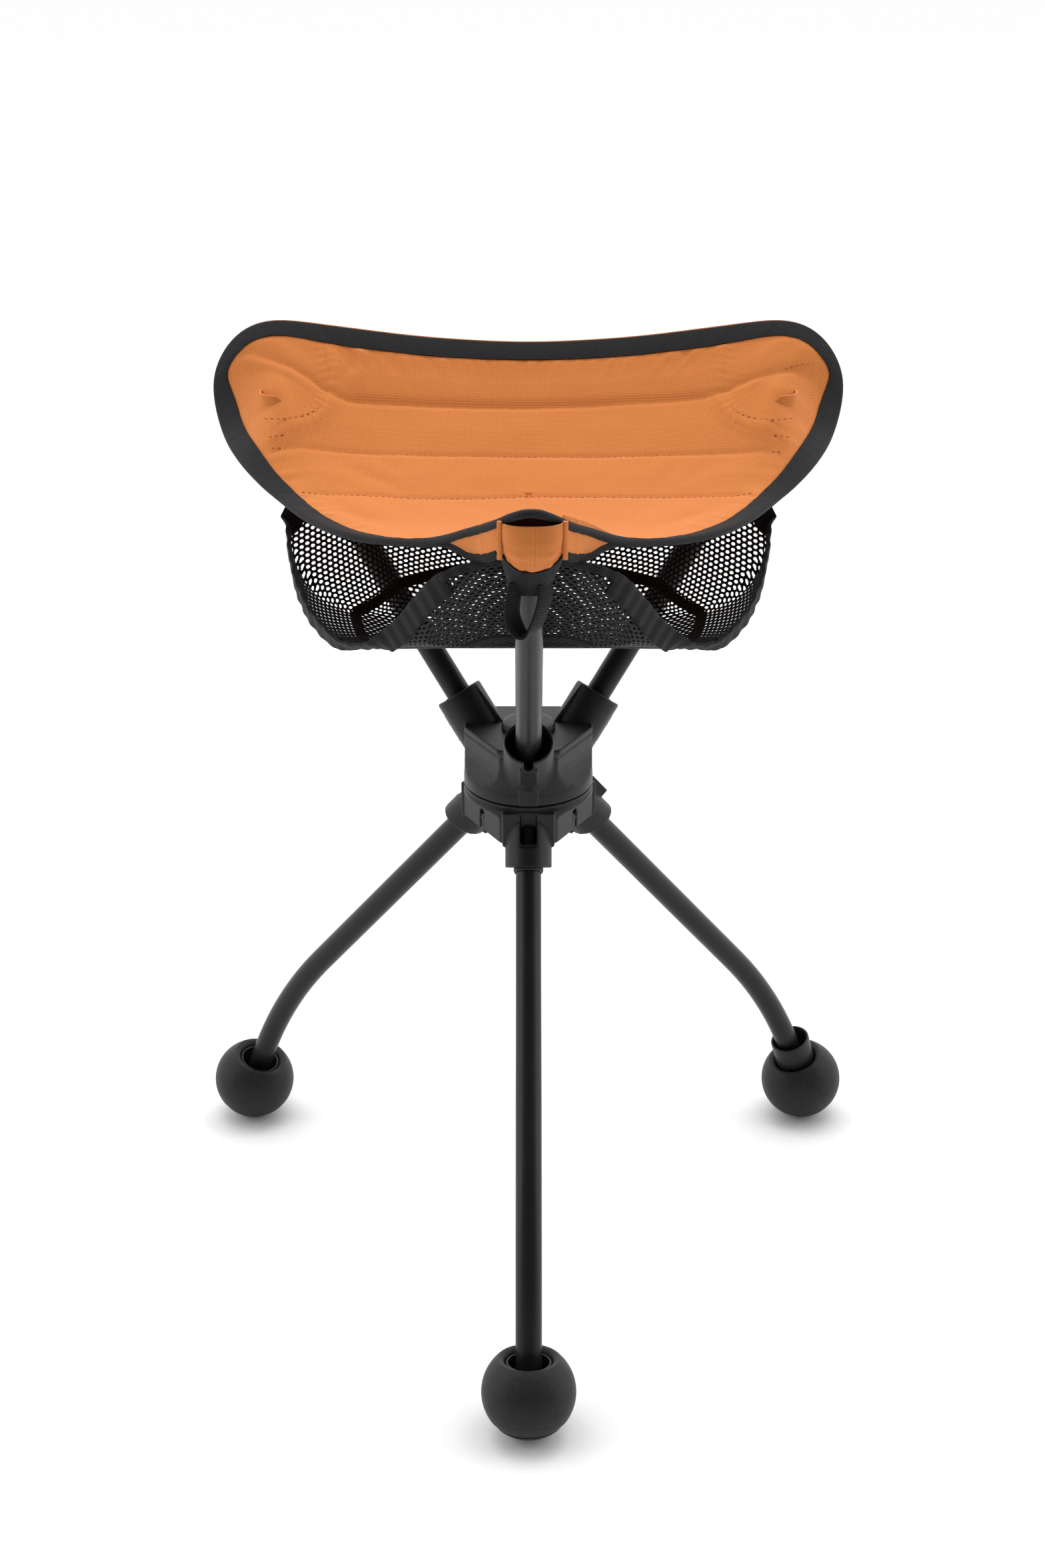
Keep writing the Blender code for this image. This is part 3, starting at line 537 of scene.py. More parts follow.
def ribbed(name, dark, light, rough, rib=1.25, depth=0.16):
    """Grosgrain or webbing: ribs across the tape, fine warp along it."""
    m, nt, b = base_material(name, light, rough, Specular_IOR_Level=0.13, Sheen_Weight=0.05, Sheen_Roughness=0.4)
    n = Net(nt)
    uv = n.node("ShaderNodeUVMap", uv_map="cloth").outputs["UV"]
    sep = n.node("ShaderNodeSeparateXYZ")
    n.link(uv, sep.inputs[0])
    k = 2 * math.pi / (rib * 0.1)
    rows = n.math("SINE", n.math("MULTIPLY", sep.outputs[0], k))
    warp = n.math("SINE", n.math("ADD", n.math("MULTIPLY", sep.outputs[1], k * 1.25), n.math("MULTIPLY", rows, 1.2)))
    h = n.math("ADD", n.math("MULTIPLY", rows, 0.7), n.math("MULTIPLY", warp, 0.45))
    uneven = n.noise(uv, 10.0, 3.0, 0.7)
    h2 = n.math("ADD", h, n.math("MULTIPLY", uneven, 0.8))
    n.link(n.bump(h2, depth * MM, 0.9), b.inputs["Normal"])
    tone = n.math("ADD", n.math("MULTIPLY", h, 0.3), n.math("ADD", uneven, 0.0))
    n.link(n.ramp(tone, [(0.15, dark), (0.85, light)]), b.inputs["Base Color"])
    return m


def net_yarn():
    """Knitted polyester net: matt black, yarn-like grain."""
    m, nt, b = base_material("net_yarn", (0.012, 0.012, 0.013), 0.62, Specular_IOR_Level=0.15, Sheen_Weight=0.05)
    n = Net(nt)
    co = n.coords()
    g = n.noise(co, 1500.0, 3.0, 0.7)
    n.link(n.bump(g, 0.0001, 0.8), b.inputs["Normal"])
    n.link(n.ramp(g, [(0.3, (0.005, 0.005, 0.0055)), (0.75, (0.014, 0.014, 0.015))]), b.inputs["Base Color"])
    return m


def plain_metal(name, colour, rough, metal, scale=900.0):
    m, nt, b = base_material(name, colour, rough, Metallic=metal)
    n = Net(nt)
    co = n.coords()
    g = n.noise(co, scale, 3.0, 0.6)
    n.link(n.bump(g, 0.00004, 0.5), b.inputs["Normal"])
    hi = tuple(min(1.0, c * 1.12) for c in colour)
    lo = tuple(c * 0.86 for c in colour)
    n.link(n.ramp(g, [(0.3, lo), (0.7, hi)]), b.inputs["Base Color"])
    return m


def thread(name, colour):
    m, nt, b = base_material(name, colour, 0.55, Sheen_Weight=0.2)
    n = Net(nt)
    g = n.noise(n.coords(), 2500.0, 2.0)
    n.link(n.bump(g, 0.00008, 0.7), b.inputs["Normal"])
    n.link(n.ramp(g, [(0.3, tuple(c * 0.75 for c in colour)), (0.7, colour)]), b.inputs["Base Color"])
    return m


COAT = powder_coat()
NYLON = moulded_nylon()
RUBBER = foot_rubber()
CANVAS = woven("orange_canvas", (0.50, 0.150, 0.034), (0.60, 0.192, 0.047), (0.69, 0.250, 0.076), 0.95, 0.80, 0.07, sheen=0.10)
BINDING = ribbed("binding_tape", (0.007, 0.007, 0.008), (0.024, 0.024, 0.027), 0.7, rib=1.15, depth=0.13)
WEBBING = ribbed("pull_webbing", (0.004, 0.004, 0.0045), (0.013, 0.013, 0.0145), 0.68, rib=1.5, depth=0.18)
YARN = net_yarn()
THREAD = thread("orange_thread", (0.42, 0.085, 0.014))
DARK_THREAD = thread("dark_thread", (0.02, 0.02, 0.02))
STEEL = plain_metal("zinc_plate", (0.55, 0.55, 0.57), 0.32, 1.0)
ACETAL = plain_metal("slip_acetal", (0.74, 0.74, 0.72), 0.4, 0.0)
ELASTIC = plain_metal("elastic_braid", (0.018, 0.018, 0.019), 0.75, 0.0, 2200.0)

# ---------------------------------------------------------------- hub
N_HUB = 216


def hub_section(flat, radius, n=N_HUB):
    pts = []
    for k in range(n):
        t = 360.0 * k / n
        d = (t - 90.0 + 60.0) % 120.0 - 60.0
        r = min(radius, flat / math.cos(math.radians(d)))
        pts.append((r * math.cos(math.radians(t)), r * math.sin(math.radians(t))))
    return pts


def loft(levels, n=N_HUB):
    verts, faces = [], []
    for z, flat, radius in levels:
        verts += [(x, y, z) for x, y in hub_section(flat, radius, n)]
    faces = grid_faces(len(levels), n, wrap=True)
    faces.append(tuple(range(n - 1, -1, -1)))
    faces.append(tuple((len(levels) - 1) * n + k for k in range(n)))
    return verts, faces


FLAT_Y = (np.zeros(3), np.array([1.0, 0, 0]), np.array([0, 0, 1.0]), np.array([0, -1.0, 0]))
VOX = 0.55

upper = temp(*loft([
    (SEAM_Z + 0.3, 45.0, HUB_R), (332.5, 45.0, HUB_R), (333.6, 44.0, HUB_R - 0.1), (334.8, 41.6, HUB_R - 0.3), (336.4, 39.4, HUB_R - 0.4),
    (338.6, 37.3, HUB_R - 0.4), (341.4, 35.8, HUB_R - 0.4), (345.0, 34.7, HUB_R - 0.4), (350.0, 34.1, HUB_R - 0.4), (355.5, 34.1, HUB_R - 0.4),
    (357.6, 34.2, HUB_R - 0.4), (358.0, 33.4, HUB_R - 1.0), (359.6, 33.4, HUB_R - 1.0), (360.2, 34.9, HUB_R - 0.4), (362.9, 34.9, HUB_R - 0.5), (TOP_Z, 34.4, HUB_R - 1.0)]))
adds, cuts = [], []
arm_in = (SLEEVE_RHO - 26.0) / ARM_DIR[0]
arm_bore = (SLEEVE_RHO - ARM_START_RHO) / ARM_DIR[0] + 1.2
sleeve = [(0, -arm_in)] + rounded([(0, -arm_in), (SLEEVE_R, -arm_in), (SLEEVE_R, 0.0), (0, 0.0)], 1.6, 4, keep=(1,))[1:]
for az in AZ.values():
    adds.append(temp(*turned(revolve(sleeve, 72, ARM_FRAME), az)))
    adds.append(temp(*turned(prism([(14.2, -5.8), (16.0, -5.6), (16.0, 5.6), (14.2, 5.8)], (-27.5, -8.2), ARM_FRAME), az)))
    adds.append(temp(*turned(box(38.0, 41.9, -5.7, 5.7, 327.5, 341.0), az)))
    adds.append(temp(*turned(prism([(39.0, 385.4), (17.9, 362.6), (27.0, 362.6), (41.0, 383.0)], (-1.0, 1.0), FLAT_Y), az)))
    cuts.append(temp(*turned(rod(TUBE_R + 0.5, -arm_bore, 5.0, 48, ARM_FRAME), az)))
    cuts.append(temp(*turned(revolve([(0, -13.0), (13.0, -13.0), (13.3, -2.0), (14.2, 0.6), (14.2, 5.0), (0, 5.0)], 72, ARM_FRAME), az)))
    notch = [(9.0, -2.85), (21.0, -2.85), (21.0, 2.85), (9.0, 2.85)]
    cuts.append(temp(*turned(prism(notch, (-6.6, 5.0), ARM_FRAME), az)))
    cuts.append(temp(*turned(revolve([(0, 9.0), (2.85, 9.0), (2.85, 21.0), (0, 21.0)], 24,
                                     (ARM_FRAME[0] - ARM_FRAME[3] * 6.6, ARM_FRAME[3], ARM_FRAME[2], ARM_FRAME[1])), az)))
cuts.append(temp(*rod(6.9, 320.0, 370.0, 40, Z_FRAME)))
cuts.append(temp(*rod(11.2, 352.0, 370.0, 48, Z_FRAME)))
cuts.append(temp(*rod(30.5, 320.0, 328.4, 64, Z_FRAME)))
boolean(upper, adds, "UNION")
boolean(upper, cuts, "DIFFERENCE")
moulded(upper, "hub_upper_moulding", NYLON, "rotor", ("upper_hub",), VOX, 3)

lower = temp(*loft([
    (300.0, HUB_FLAT, HUB_R), (316.0, HUB_FLAT, HUB_R), (317.6, 35.0, HUB_R), (318.8, 36.6, HUB_R), (319.8, 39.0, HUB_R), (320.6, 42.5, HUB_R), (321.0, 45.0, HUB_R),
    (322.6, 45.0, HUB_R), (323.0, 45.0, HUB_R - 1.1), (324.4, 45.0, HUB_R - 1.1), (324.8, 45.0, HUB_R), (SEAM_Z - 0.4, 45.0, HUB_R)]))
adds, cuts = [], []
leg_in = (SOCKET_RHO - LEG_TOP_RHO) / LEG_DIR[0]
socket = [(0, -leg_in), (SOCKET_R, -leg_in), (SOCKET_R, 5.0), (0, 5.0)]
mouth_dir = np.array([math.sin(math.radians(29.0)), 0.0, -math.cos(math.radians(29.0))])
MOUTH_FRAME = axis_frame(LEG_FRAME[0], mouth_dir)
for az in AZ.values():
    s = temp(*turned(revolve(socket, 72, LEG_FRAME), az))
    boolean(s, [temp(*turned(rod(40.0, 0.0, 30.0, 8, MOUTH_FRAME), az))], "DIFFERENCE")
    adds.append(s)
    adds.append(temp(*turned(box(22.0, 40.9, -16.4, 16.4, 299.0, 322.0), az)))
    cuts.append(temp(*turned(rod(TUBE_R + 0.6, -leg_in - 1.6, 12.0, 48, LEG_FRAME), az)))
    cuts.append(temp(*turned(box(38.2, 50.0, -5.3, 5.3, 301.0, 321.6), az)))
    cuts.append(temp(*turned(prism([(-20.0, -5.3), (-13.3, -5.3), (-13.3, 5.3), (-20.0, 5.3)], (-26.0, -9.0), LEG_FRAME), az)))
for az in (90.0, 210.0, 330.0):
    cuts.append(temp(*turned(box(28.8, 38.5, -2.6, 2.6, 296.0, 311.5), az)))
    cuts.append(temp(*turned(revolve([(0, 28.8), (2.6, 28.8), (2.6, 38.5), (0, 38.5)], 24,
                                     (np.array([0, 0, 311.5]), np.array([0, 0, 1.0]), np.array([0, 1.0, 0]), np.array([1.0, 0, 0]))), az)))
cuts.append(temp(*rod(12.0, 290.0, 310.1, 48, Z_FRAME)))
cuts.append(temp(*rod(4.4, 300.0, 340.0, 32, Z_FRAME)))
cuts.append(temp(*rod(30.5, 325.6, 340.0, 64, Z_FRAME)))
boolean(lower, adds, "UNION")
boolean(lower, cuts, "DIFFERENCE")
moulded(lower, "hub_lower_moulding", NYLON, "base", ("lower_hub",), VOX, 3)

cover = [(0, 297.0)] + rounded([(0, 297.0), (17.6, 297.0), (17.6, 299.7), (11.7, 299.7), (11.7, 305.0), (9.4, 305.0), (9.4, 299.0), (0, 299.0)], 0.6, 3)[1:]
cv = temp(*revolve(cover, 72))
hooks = []
for az in (90.0, 210.0, 330.0):
    hooks.append(temp(*turned(box(15.0, 33.4, -2.1, 2.1, 297.2, 299.5), az)))
    hooks.append(temp(*turned(prism([(31.2, 297.9), (33.6, 297.9), (33.6, 306.0), (34.0, 308.0), (33.2, 310.6), (31.8, 310.6), (31.2, 309.0)], (-1.8, 1.8), FLAT_Y), az)))
boolean(cv, hooks, "UNION")
moulded(cv, "hub_cover_moulding", NYLON, "base", ("hub_bottom_cover",), 0.35, 2)

cap = [(0, 368.2), (8.0, 368.15)] + rounded([(8.0, 368.15), (14.6, 367.9), (17.0, 366.9), (17.2, 363.8), (10.7, 363.8), (10.7, 360.3), (9.4, 360.3), (9.4, 365.2), (0, 365.2)], 0.9, 4)[1:]
make("hub_swivel_cap", *revolve(cap, 96), NYLON, "rotor", ("swivel_cap",), "black_nylon")

# ---------------------------------------------------------------- tubes
ARM_LEN0 = (ARM_START_RHO - SLEEVE_RHO) / ARM_DIR[0]
ARM_LEN1 = (ARM_END_RHO - SLEEVE_RHO) / ARM_DIR[0]
a1, a2 = math.atan2(1.0, LEG_SLOPE), math.radians(LEG_END_ANGLE)
FOOT_DIR = np.array([-math.sin(a2), 0.0, math.cos(a2)])
FOOT_C = np.array([FOOT_RHO, 0.0, BALL_Z])
leg_path = [np.array([LEG_TOP_RHO + (LEG_BEND_RHO - LEG_TOP_RHO) * k / 24, 0, leg_z(LEG_TOP_RHO + (LEG_BEND_RHO - LEG_TOP_RHO) * k / 24)]) for k in range(25)]
start = leg_path[-1].copy()
for k in range(1, 29):
    a = a1 + (a2 - a1) * k / 28.0
    leg_path.append(start + LEG_BEND_R * np.array([math.cos(a) - math.cos(a1), 0, -(math.sin(a1) - math.sin(a))]))
end = FOOT_C + FOOT_DIR * 0.3
for k in range(1, 4):
    leg_path.append(leg_path[52 + 0] + (end - leg_path[52]) * k / 3 if k < 3 else end)


def tube_along(path, ro, ri, n):
    verts, m = [], len(path)
    ang = 2 * math.pi * np.arange(n) / n
    for i, p in enumerate(path):
        d = unit(path[min(i + 1, m - 1)] - path[max(i - 1, 0)])
        side = np.array([d[2], 0.0, -d[0]])
        for r in (ro, ri):
            verts += [p + side * (r * math.cos(t)) + np.array([0, 1.0, 0]) * (r * math.sin(t)) for t in ang]
    step = 2 * n
    faces = []
    for i in range(m - 1):
        a, b = i * step, (i + 1) * step
        for k in range(n):
            k2 = (k + 1) % n
            faces.append((a + k, a + k2, b + k2, b + k))
            faces.append((a + n + k, b + n + k, b + n + k2, a + n + k2))
    for base in (0, (m - 1) * step):
        faces += [(base + k, base + n + k, base + n + (k + 1) % n, base + (k + 1) % n) for k in range(n)]
    return verts, faces


tube_wall = [(TUBE_RI, ARM_LEN0), (TUBE_R - 0.3, ARM_LEN0), (TUBE_R, ARM_LEN0 + 0.3)]
tube_wall += [(TUBE_R, ARM_LEN0 + (ARM_LEN1 - ARM_LEN0) * k / 12) for k in range(1, 12)]
tube_wall += [(TUBE_R, ARM_LEN1 - 0.3), (TUBE_R - 0.3, ARM_LEN1), (TUBE_RI, ARM_LEN1)]
dome = [(8.0 * math.cos(a), ARM_LEN1 + 3.5 + 8.0 * math.sin(a)) for a in np.linspace(0, 1.5, 10)]
cord0 = (LEG_TOP_RHO - SOCKET_RHO) / LEG_DIR[0]


def knotted(h0, h1, knot):
    """Elastic cord of 3.4 mm with a knot, as a turned profile with a faint braid."""
    rows = [(0, h0)]
    h = h0
    while h < h1:
        rows.append((1.62 + 0.08 * math.sin(h * 2.4), h))
        h += 1.3
    rows += [(1.9, h1)] + [(1.6 + 2.4 * math.sin(math.pi * (0.15 + 0.7 * k / 8)), h1 + 2.0 + knot * k / 8) for k in range(9)] + [(0, h1 + knot + 3.0)]
    return rows


for who, az in AZ.items():
    make("arm_tube_" + who, *revolve(tube_wall, 56, ARM_FRAME, closed=True), COAT, "rotor", ("arm_" + who,), "powder_coated_tube", az)
    tip = [(0, ARM_LEN1 - 12.0), (TUBE_RI - 0.6, ARM_LEN1 - 12.0), (TUBE_RI - 0.4, ARM_LEN1 - 11.0), (TUBE_RI - 0.4, ARM_LEN1 + 0.4), (TUBE_R, ARM_LEN1 + 0.4)] + dome + [(0, ARM_LEN1 + 11.5)]
    make("arm_end_cap_" + who, *revolve(tip, 48, ARM_FRAME), NYLON, "rotor", ("arm_tip_cap_" + who,), "black_nylon", az)
    make("arm_elastic_" + who, *revolve(knotted(ARM_LEN0, 110.0, 6.0), 20, ARM_FRAME), ELASTIC, "rotor", ("arm_cord_" + who,), "elastic_cord", az)
    make("leg_tube_" + who, *tube_along(leg_path, TUBE_R, TUBE_RI, 56), COAT, "leg_" + who, ("leg_" + who,), "powder_coated_tube", az)
    stop = rounded([(TUBE_R + 0.25, 0.3), (9.35, 0.3), (9.5, 2.2), (8.9, 3.6), (TUBE_R + 0.25, 3.6)], 0.4, 3, closed=True)
    make("leg_ring_" + who, *revolve(stop, 64, LEG_FRAME, closed=True), NYLON, "leg_" + who, ("leg_stop_ring_" + who,), "black_nylon", az)
    make("leg_elastic_" + who, *revolve(knotted(cord0, 90.0, 6.0), 20, LEG_FRAME), ELASTIC, "base", ("leg_cord_" + who,), "elastic_cord", az)
    stem = axis_frame(FOOT_C, FOOT_DIR)
    prof = [(0, 22.0), (TUBE_RI - 0.9, 22.0), (TUBE_RI - 0.7, 21.6), (TUBE_RI - 0.7, 0.0)] + [(8.0 * math.cos(a), -8.0 * math.sin(a)) for a in np.linspace(0.0, 1.5, 10)] + [(0, -8.0)]
    make("foot_pivot_" + who, *revolve(prof, 40, stem), NYLON, "leg_" + who, ("foot_stem_" + who,), "black_nylon", az)

    # foot: hollow ball, sole cap, sliding collar
    tilt = math.radians(LEG_END_ANGLE + FOOT_TILT[who])
    foot_axis = np.array([-math.sin(tilt), 0.0, math.cos(tilt)])
    ff = axis_frame(FOOT_C, foot_axis)
    lip = math.degrees(math.asin(19.0 / BALL_R))
    ball = [(0, -8.6)] + [(8.6 * math.sin(a), -8.6 * math.cos(a)) for a in np.linspace(0.2, 1.35, 8)]
    ball += [(8.6, -1.8), (14.4, -1.8), (14.4, 18.2), (14.55, 19.2), (15.0, 20.1), (15.8, 20.9), (16.8, 21.45), (17.9, 21.72)]
    arc = sphere_arc(BALL_R, lip, 133.6, 58)
    ring_at, step_at = 112.0, 126.0
    shaped = []
    for r, h in arc:
        p = math.degrees(math.atan2(r, h))
        dip = 0.22 * math.exp(-((p - ring_at) / 1.0) ** 2) + 0.35 / (1 + math.exp(-(p - step_at) / 0.35))
        shaped.append((r * (1 - dip / BALL_R), h * (1 - dip / BALL_R)))
    ball += shaped + [(20.4, -20.1), (20.0, -20.4), (0, -20.4)]
    make("foot_ball_shell_" + who, *revolve(ball, 96, ff), RUBBER, "foot_" + who, ("foot_ball_" + who,), "foot_rubber", az, sharp=38)
    sole = [(0, -20.7), (18.4, -20.7), (19.0, -20.85), (19.3, -21.2)] + sphere_arc(BALL_R, 136.8, 179.0, 26)
    sole.append((0, -BALL_R))
    so = temp(*revolve(sole, 96, ff))
    boolean(so, [temp(*box(FOOT_RHO - 40, FOOT_RHO + 40, -40, 40, -20.0, 0.0))], "DIFFERENCE")
    so_v = [tuple(v.co) for v in so.data.vertices]
    so_f = [tuple(p.vertices) for p in so.data.polygons]
    bpy.data.objects.remove(so, do_unlink=True)
    make("foot_sole_cap_" + who, so_v, so_f, RUBBER, "foot_" + who, ("foot_sole_" + who,), "foot_rubber", az, sharp=38)
    lift = COLLAR_RAISE if who == "rear_right" else 0.0
    cf = axis_frame(FOOT_C + foot_axis * (COLLAR_TOP - COLLAR_LEN + lift), foot_axis)
    collar = rounded([(10.2, 0.0), (13.95, 0.0), (13.95, COLLAR_LEN), (12.5, COLLAR_LEN), (12.2, 12.0), (11.6, 9.0)], 0.9, 5, closed=True)
    make("foot_collar_sleeve_" + who, *revolve(collar, 96, cf, closed=True), NYLON, "collar_" + who, ("foot_collar_" + who,), "black_nylon", az)

for node, mat in (("swivel_bolt", STEEL), ("swivel_nut", STEEL), ("nut_washer", STEEL), ("bolt_washer", STEEL), ("thrust_washer", ACETAL), ("swivel_bushing", ACETAL)):
    ob = frame["nodes"][node]
    ob.data.materials.clear()
    ob.data.materials.append(mat)

# ---------------------------------------------------------------- seat: outline and height field
# Left half of the outline from the middle of the back edge to the front tip (x, y, z).
HALF = [(0, 118, 581), (-65, 119, 584), (-121, 122, 590), (-163, 125, 594), (-182, 124, 589), (-196, 119, 575),
        (-204, 117, 553), (-197, 100, 527), (-183, 62, 519), (-165, 28, 513), (-155, 13, 511), (-136, -24, 511),
        (-117, -55, 513), (-97, -78, 516), (-75, -101, 522), (-56, -120, 529), (-42, -142, 540), (-30, -160, 550),
        (-16, -184, 561), (0, -196, 569)]


def catmull(points, per, closed=True):
    """Smooth curve through the points, with equal steps in each span."""
    p = np.asarray(points, float)
    n = len(p)
    out = []
    for i in range(n if closed else n - 1):
        if closed:
            a, b, c, d = p[(i - 1) % n], p[i], p[(i + 1) % n], p[(i + 2) % n]
        else:
            a, b, c, d = p[max(i - 1, 0)], p[i], p[i + 1], p[min(i + 2, n - 1)]
        for k in range(per):
            t = k / per
            out.append(0.5 * ((2 * b) + (c - a) * t + (2 * a - 5 * b + 4 * c - d) * t * t + (3 * b - a - 3 * c + d) * t ** 3))
    if not closed:
        out.append(p[-1])
    return np.array(out)


def resample(line, n, closed=True):
    """n points at equal distances along a curve, from its first point."""
    line = np.asarray(line, float)
    q = np.vstack([line, line[:1]]) if closed else line
    s = np.concatenate([[0], np.cumsum(np.linalg.norm(np.diff(q, axis=0), axis=1))])
    t = np.linspace(0, s[-1], n, endpoint=not closed)
    return np.stack([np.interp(t, s, q[:, k]) for k in range(q.shape[1])], 1)


def smooth_loop(p, times):
    for _ in range(times):
        p = 0.5 * p + 0.25 * (np.roll(p, 1, 0) + np.roll(p, -1, 0))
    return p


OUTLINE = HALF + [(-x, y, z) for x, y, z in reversed(HALF[1:-1])]
N_RIM = 640
rim = smooth_loop(resample(catmull(OUTLINE, 24), N_RIM), 60)      # outer edge of the binding
SEAT_C = np.array([0.0, 10.0])
BIND_IN = 11.0                                                    # width of the binding


def inward(loop, d):
    """The loop moved d towards its inside, in plan, heights kept."""
    t = np.roll(loop, -1, 0) - np.roll(loop, 1, 0)
    n = np.stack([t[:, 1], -t[:, 0]], 1)
    n /= np.linalg.norm(n, axis=1)[:, None]
    c = SEAT_C - loop[:, :2]
    n *= np.sign((n * c).sum(1))[:, None]
    out = loop.copy()
    out[:, :2] += n * d
    return smooth_loop(out, 8)


def inside(px, py, poly):
    """Even-odd test of points against a closed plan polygon."""
    res = np.zeros(px.shape, bool)
    x0, y0 = poly[:, 0], poly[:, 1]
    x1, y1 = np.roll(x0, -1), np.roll(y0, -1)
    for a, b, c, d in zip(x0, y0, x1, y1):
        if b == d:
            continue
        hit = ((b > py) != (d > py)) & (px < (c - a) * (py - b) / (d - b) + a)
        res ^= hit
    return res


STEP = 3.0
GX = np.arange(-213.0, 213.1, STEP)
GY = np.arange(-204.0, 138.1, STEP)


def solve_seat(load):
    """Height field of a membrane hung from the outline and lifted by the three arm tips."""
    X, Y = np.meshgrid(GX, GY, indexing="ij")
    body = inside(X, Y, rim[::4])
    r = rim[::2]
    flat = np.stack([X.ravel(), Y.ravel()], 1)
    near = np.zeros(len(flat))
    for s in range(0, len(flat), 4000):
        d = ((flat[s:s + 4000, None, :] - r[None, :, :2]) ** 2).sum(2)
        near[s:s + 4000] = r[d.argmin(1), 2]
    near = near.reshape(X.shape)
    over = np.full(X.shape, -1e9)
    for az in AZ.values():
        a = math.radians(az)
        along = X * math.cos(a) + Y * math.sin(a)
        side = np.abs(Y * math.cos(a) - X * math.sin(a))
        lift = np.minimum(arm_z(along) + TUBE_R / ARM_DIR[0] + 12.5, 565.0) - 0.05 * np.maximum(side - 12.0, 0.0) ** 2
        over = np.where((along > 105.0) & (side < 40.0), np.maximum(over, lift), over)
    z = np.where(body, 515.0, near)
    over = np.where(body, over, -1e9)
    for it in range(5200):
        new = z.copy()
        new[1:-1, 1:-1] = 0.25 * (z[2:, 1:-1] + z[:-2, 1:-1] + z[1:-1, 2:] + z[1:-1, :-2]) - load
        z = np.where(body, np.maximum(z + 1.0 * (new - z), over), near)
    for _ in range(3):
        sm = z.copy()
        sm[1:-1, 1:-1] = 0.25 * (z[2:, 1:-1] + z[:-2, 1:-1] + z[1:-1, 2:] + z[1:-1, :-2])
        z = np.where(body, np.maximum(sm, over - 0.6), near)
    return z


def sample(field, x, y):
    """Smooth sampling of a grid field."""
    fx = np.clip((np.asarray(x, float) - GX[0]) / STEP, 1, len(GX) - 3.001)
    fy = np.clip((np.asarray(y, float) - GY[0]) / STEP, 1, len(GY) - 3.001)
    ix, iy = fx.astype(int), fy.astype(int)
    tx, ty = fx - ix, fy - iy

    def w(t):
        return (-0.5 * t + t * t - 0.5 * t ** 3, 1 - 2.5 * t * t + 1.5 * t ** 3, 0.5 * t + 2 * t * t - 1.5 * t ** 3, -0.5 * t * t + 0.5 * t ** 3)

    wx, wy = w(tx), w(ty)
    out = 0.0
    for i in range(4):
        for j in range(4):
            out = out + wx[i] * wy[j] * field[ix + i - 1, iy + j - 1]
    return out


field = solve_seat(0.0150)
CENTRE_Z = None
rim_in = inward(rim, 1.4)                 # edge of the panel, inside the folded tape
N_ROWS = 150


def distance(x, y, line):
    """Distance in plan to a polyline, and how far along it the nearest point lies (0 to 1)."""
    line = np.asarray(line, float)
    seg = np.linalg.norm(np.diff(line, axis=0), axis=1)
    run = np.concatenate([[0], np.cumsum(seg)])
    best = np.full(x.shape, 1e9)
    at = np.zeros(x.shape)
    for i in range(len(line) - 1):
        a, b = line[i], line[i + 1]
        d = b - a
        t = np.clip(((x - a[0]) * d[0] + (y - a[1]) * d[1]) / (d @ d), 0, 1)
        q = np.hypot(x - a[0] - t * d[0], y - a[1] - t * d[1])
        at = np.where(q < best, (run[i] + t * seg[i]) / run[-1], at)
        best = np.minimum(best, q)
    return best, at


def curve(points, n=60):
    return resample(catmull(points, 12, closed=False), n, closed=False)


def mirrored(line):
    return np.asarray(line) * np.array([-1.0, 1.0])


# Sewn lines, in plan: the seam across the patches and panel, two more quilting lines, and the
# double row of stitches round each corner patch.
SEAM = curve([(-190, 116), (-181, 111), (-162, 101.5), (-140, 91), (-121, 82), (-98, 81), (-60, 80.8), (0, 81), (60, 82.2), (98, 82.6), (119, 83.5), (134, 88), (155, 93), (189, 106.5), (196, 109)], 140)
QUILT_2 = curve([(-176, 51), (-140, 47.6), (-117, 45.8), (-80, 44.8), (0, 45.3), (80, 44.2), (135, 44.6), (176, 50)], 110)
QUILT_3 = curve([(-158, 17), (-140, 12), (-110, 6.8), (-60, 5.8), (0, 8.5), (60, 6.6), (110, 6.2), (140, 11), (158, 16)], 110)
PATCH_IN_L = curve([(-132.5, 119), (-130, 103), (-127, 89), (-129, 76), (-139, 66), (-158, 60.5), (-178, 62.5), (-186, 64)], 60)
PATCH_OUT_L = curve([(-123.5, 119), (-121.5, 103), (-119.5, 90), (-121, 76), (-130, 64), (-146, 55.5), (-166, 54), (-184, 56)], 60)
PATCH_IN_R, PATCH_OUT_R = mirrored(PATCH_IN_L) + np.array([-4.0, 0.0]), mirrored(PATCH_OUT_L) + np.array([-3.5, 0.0])
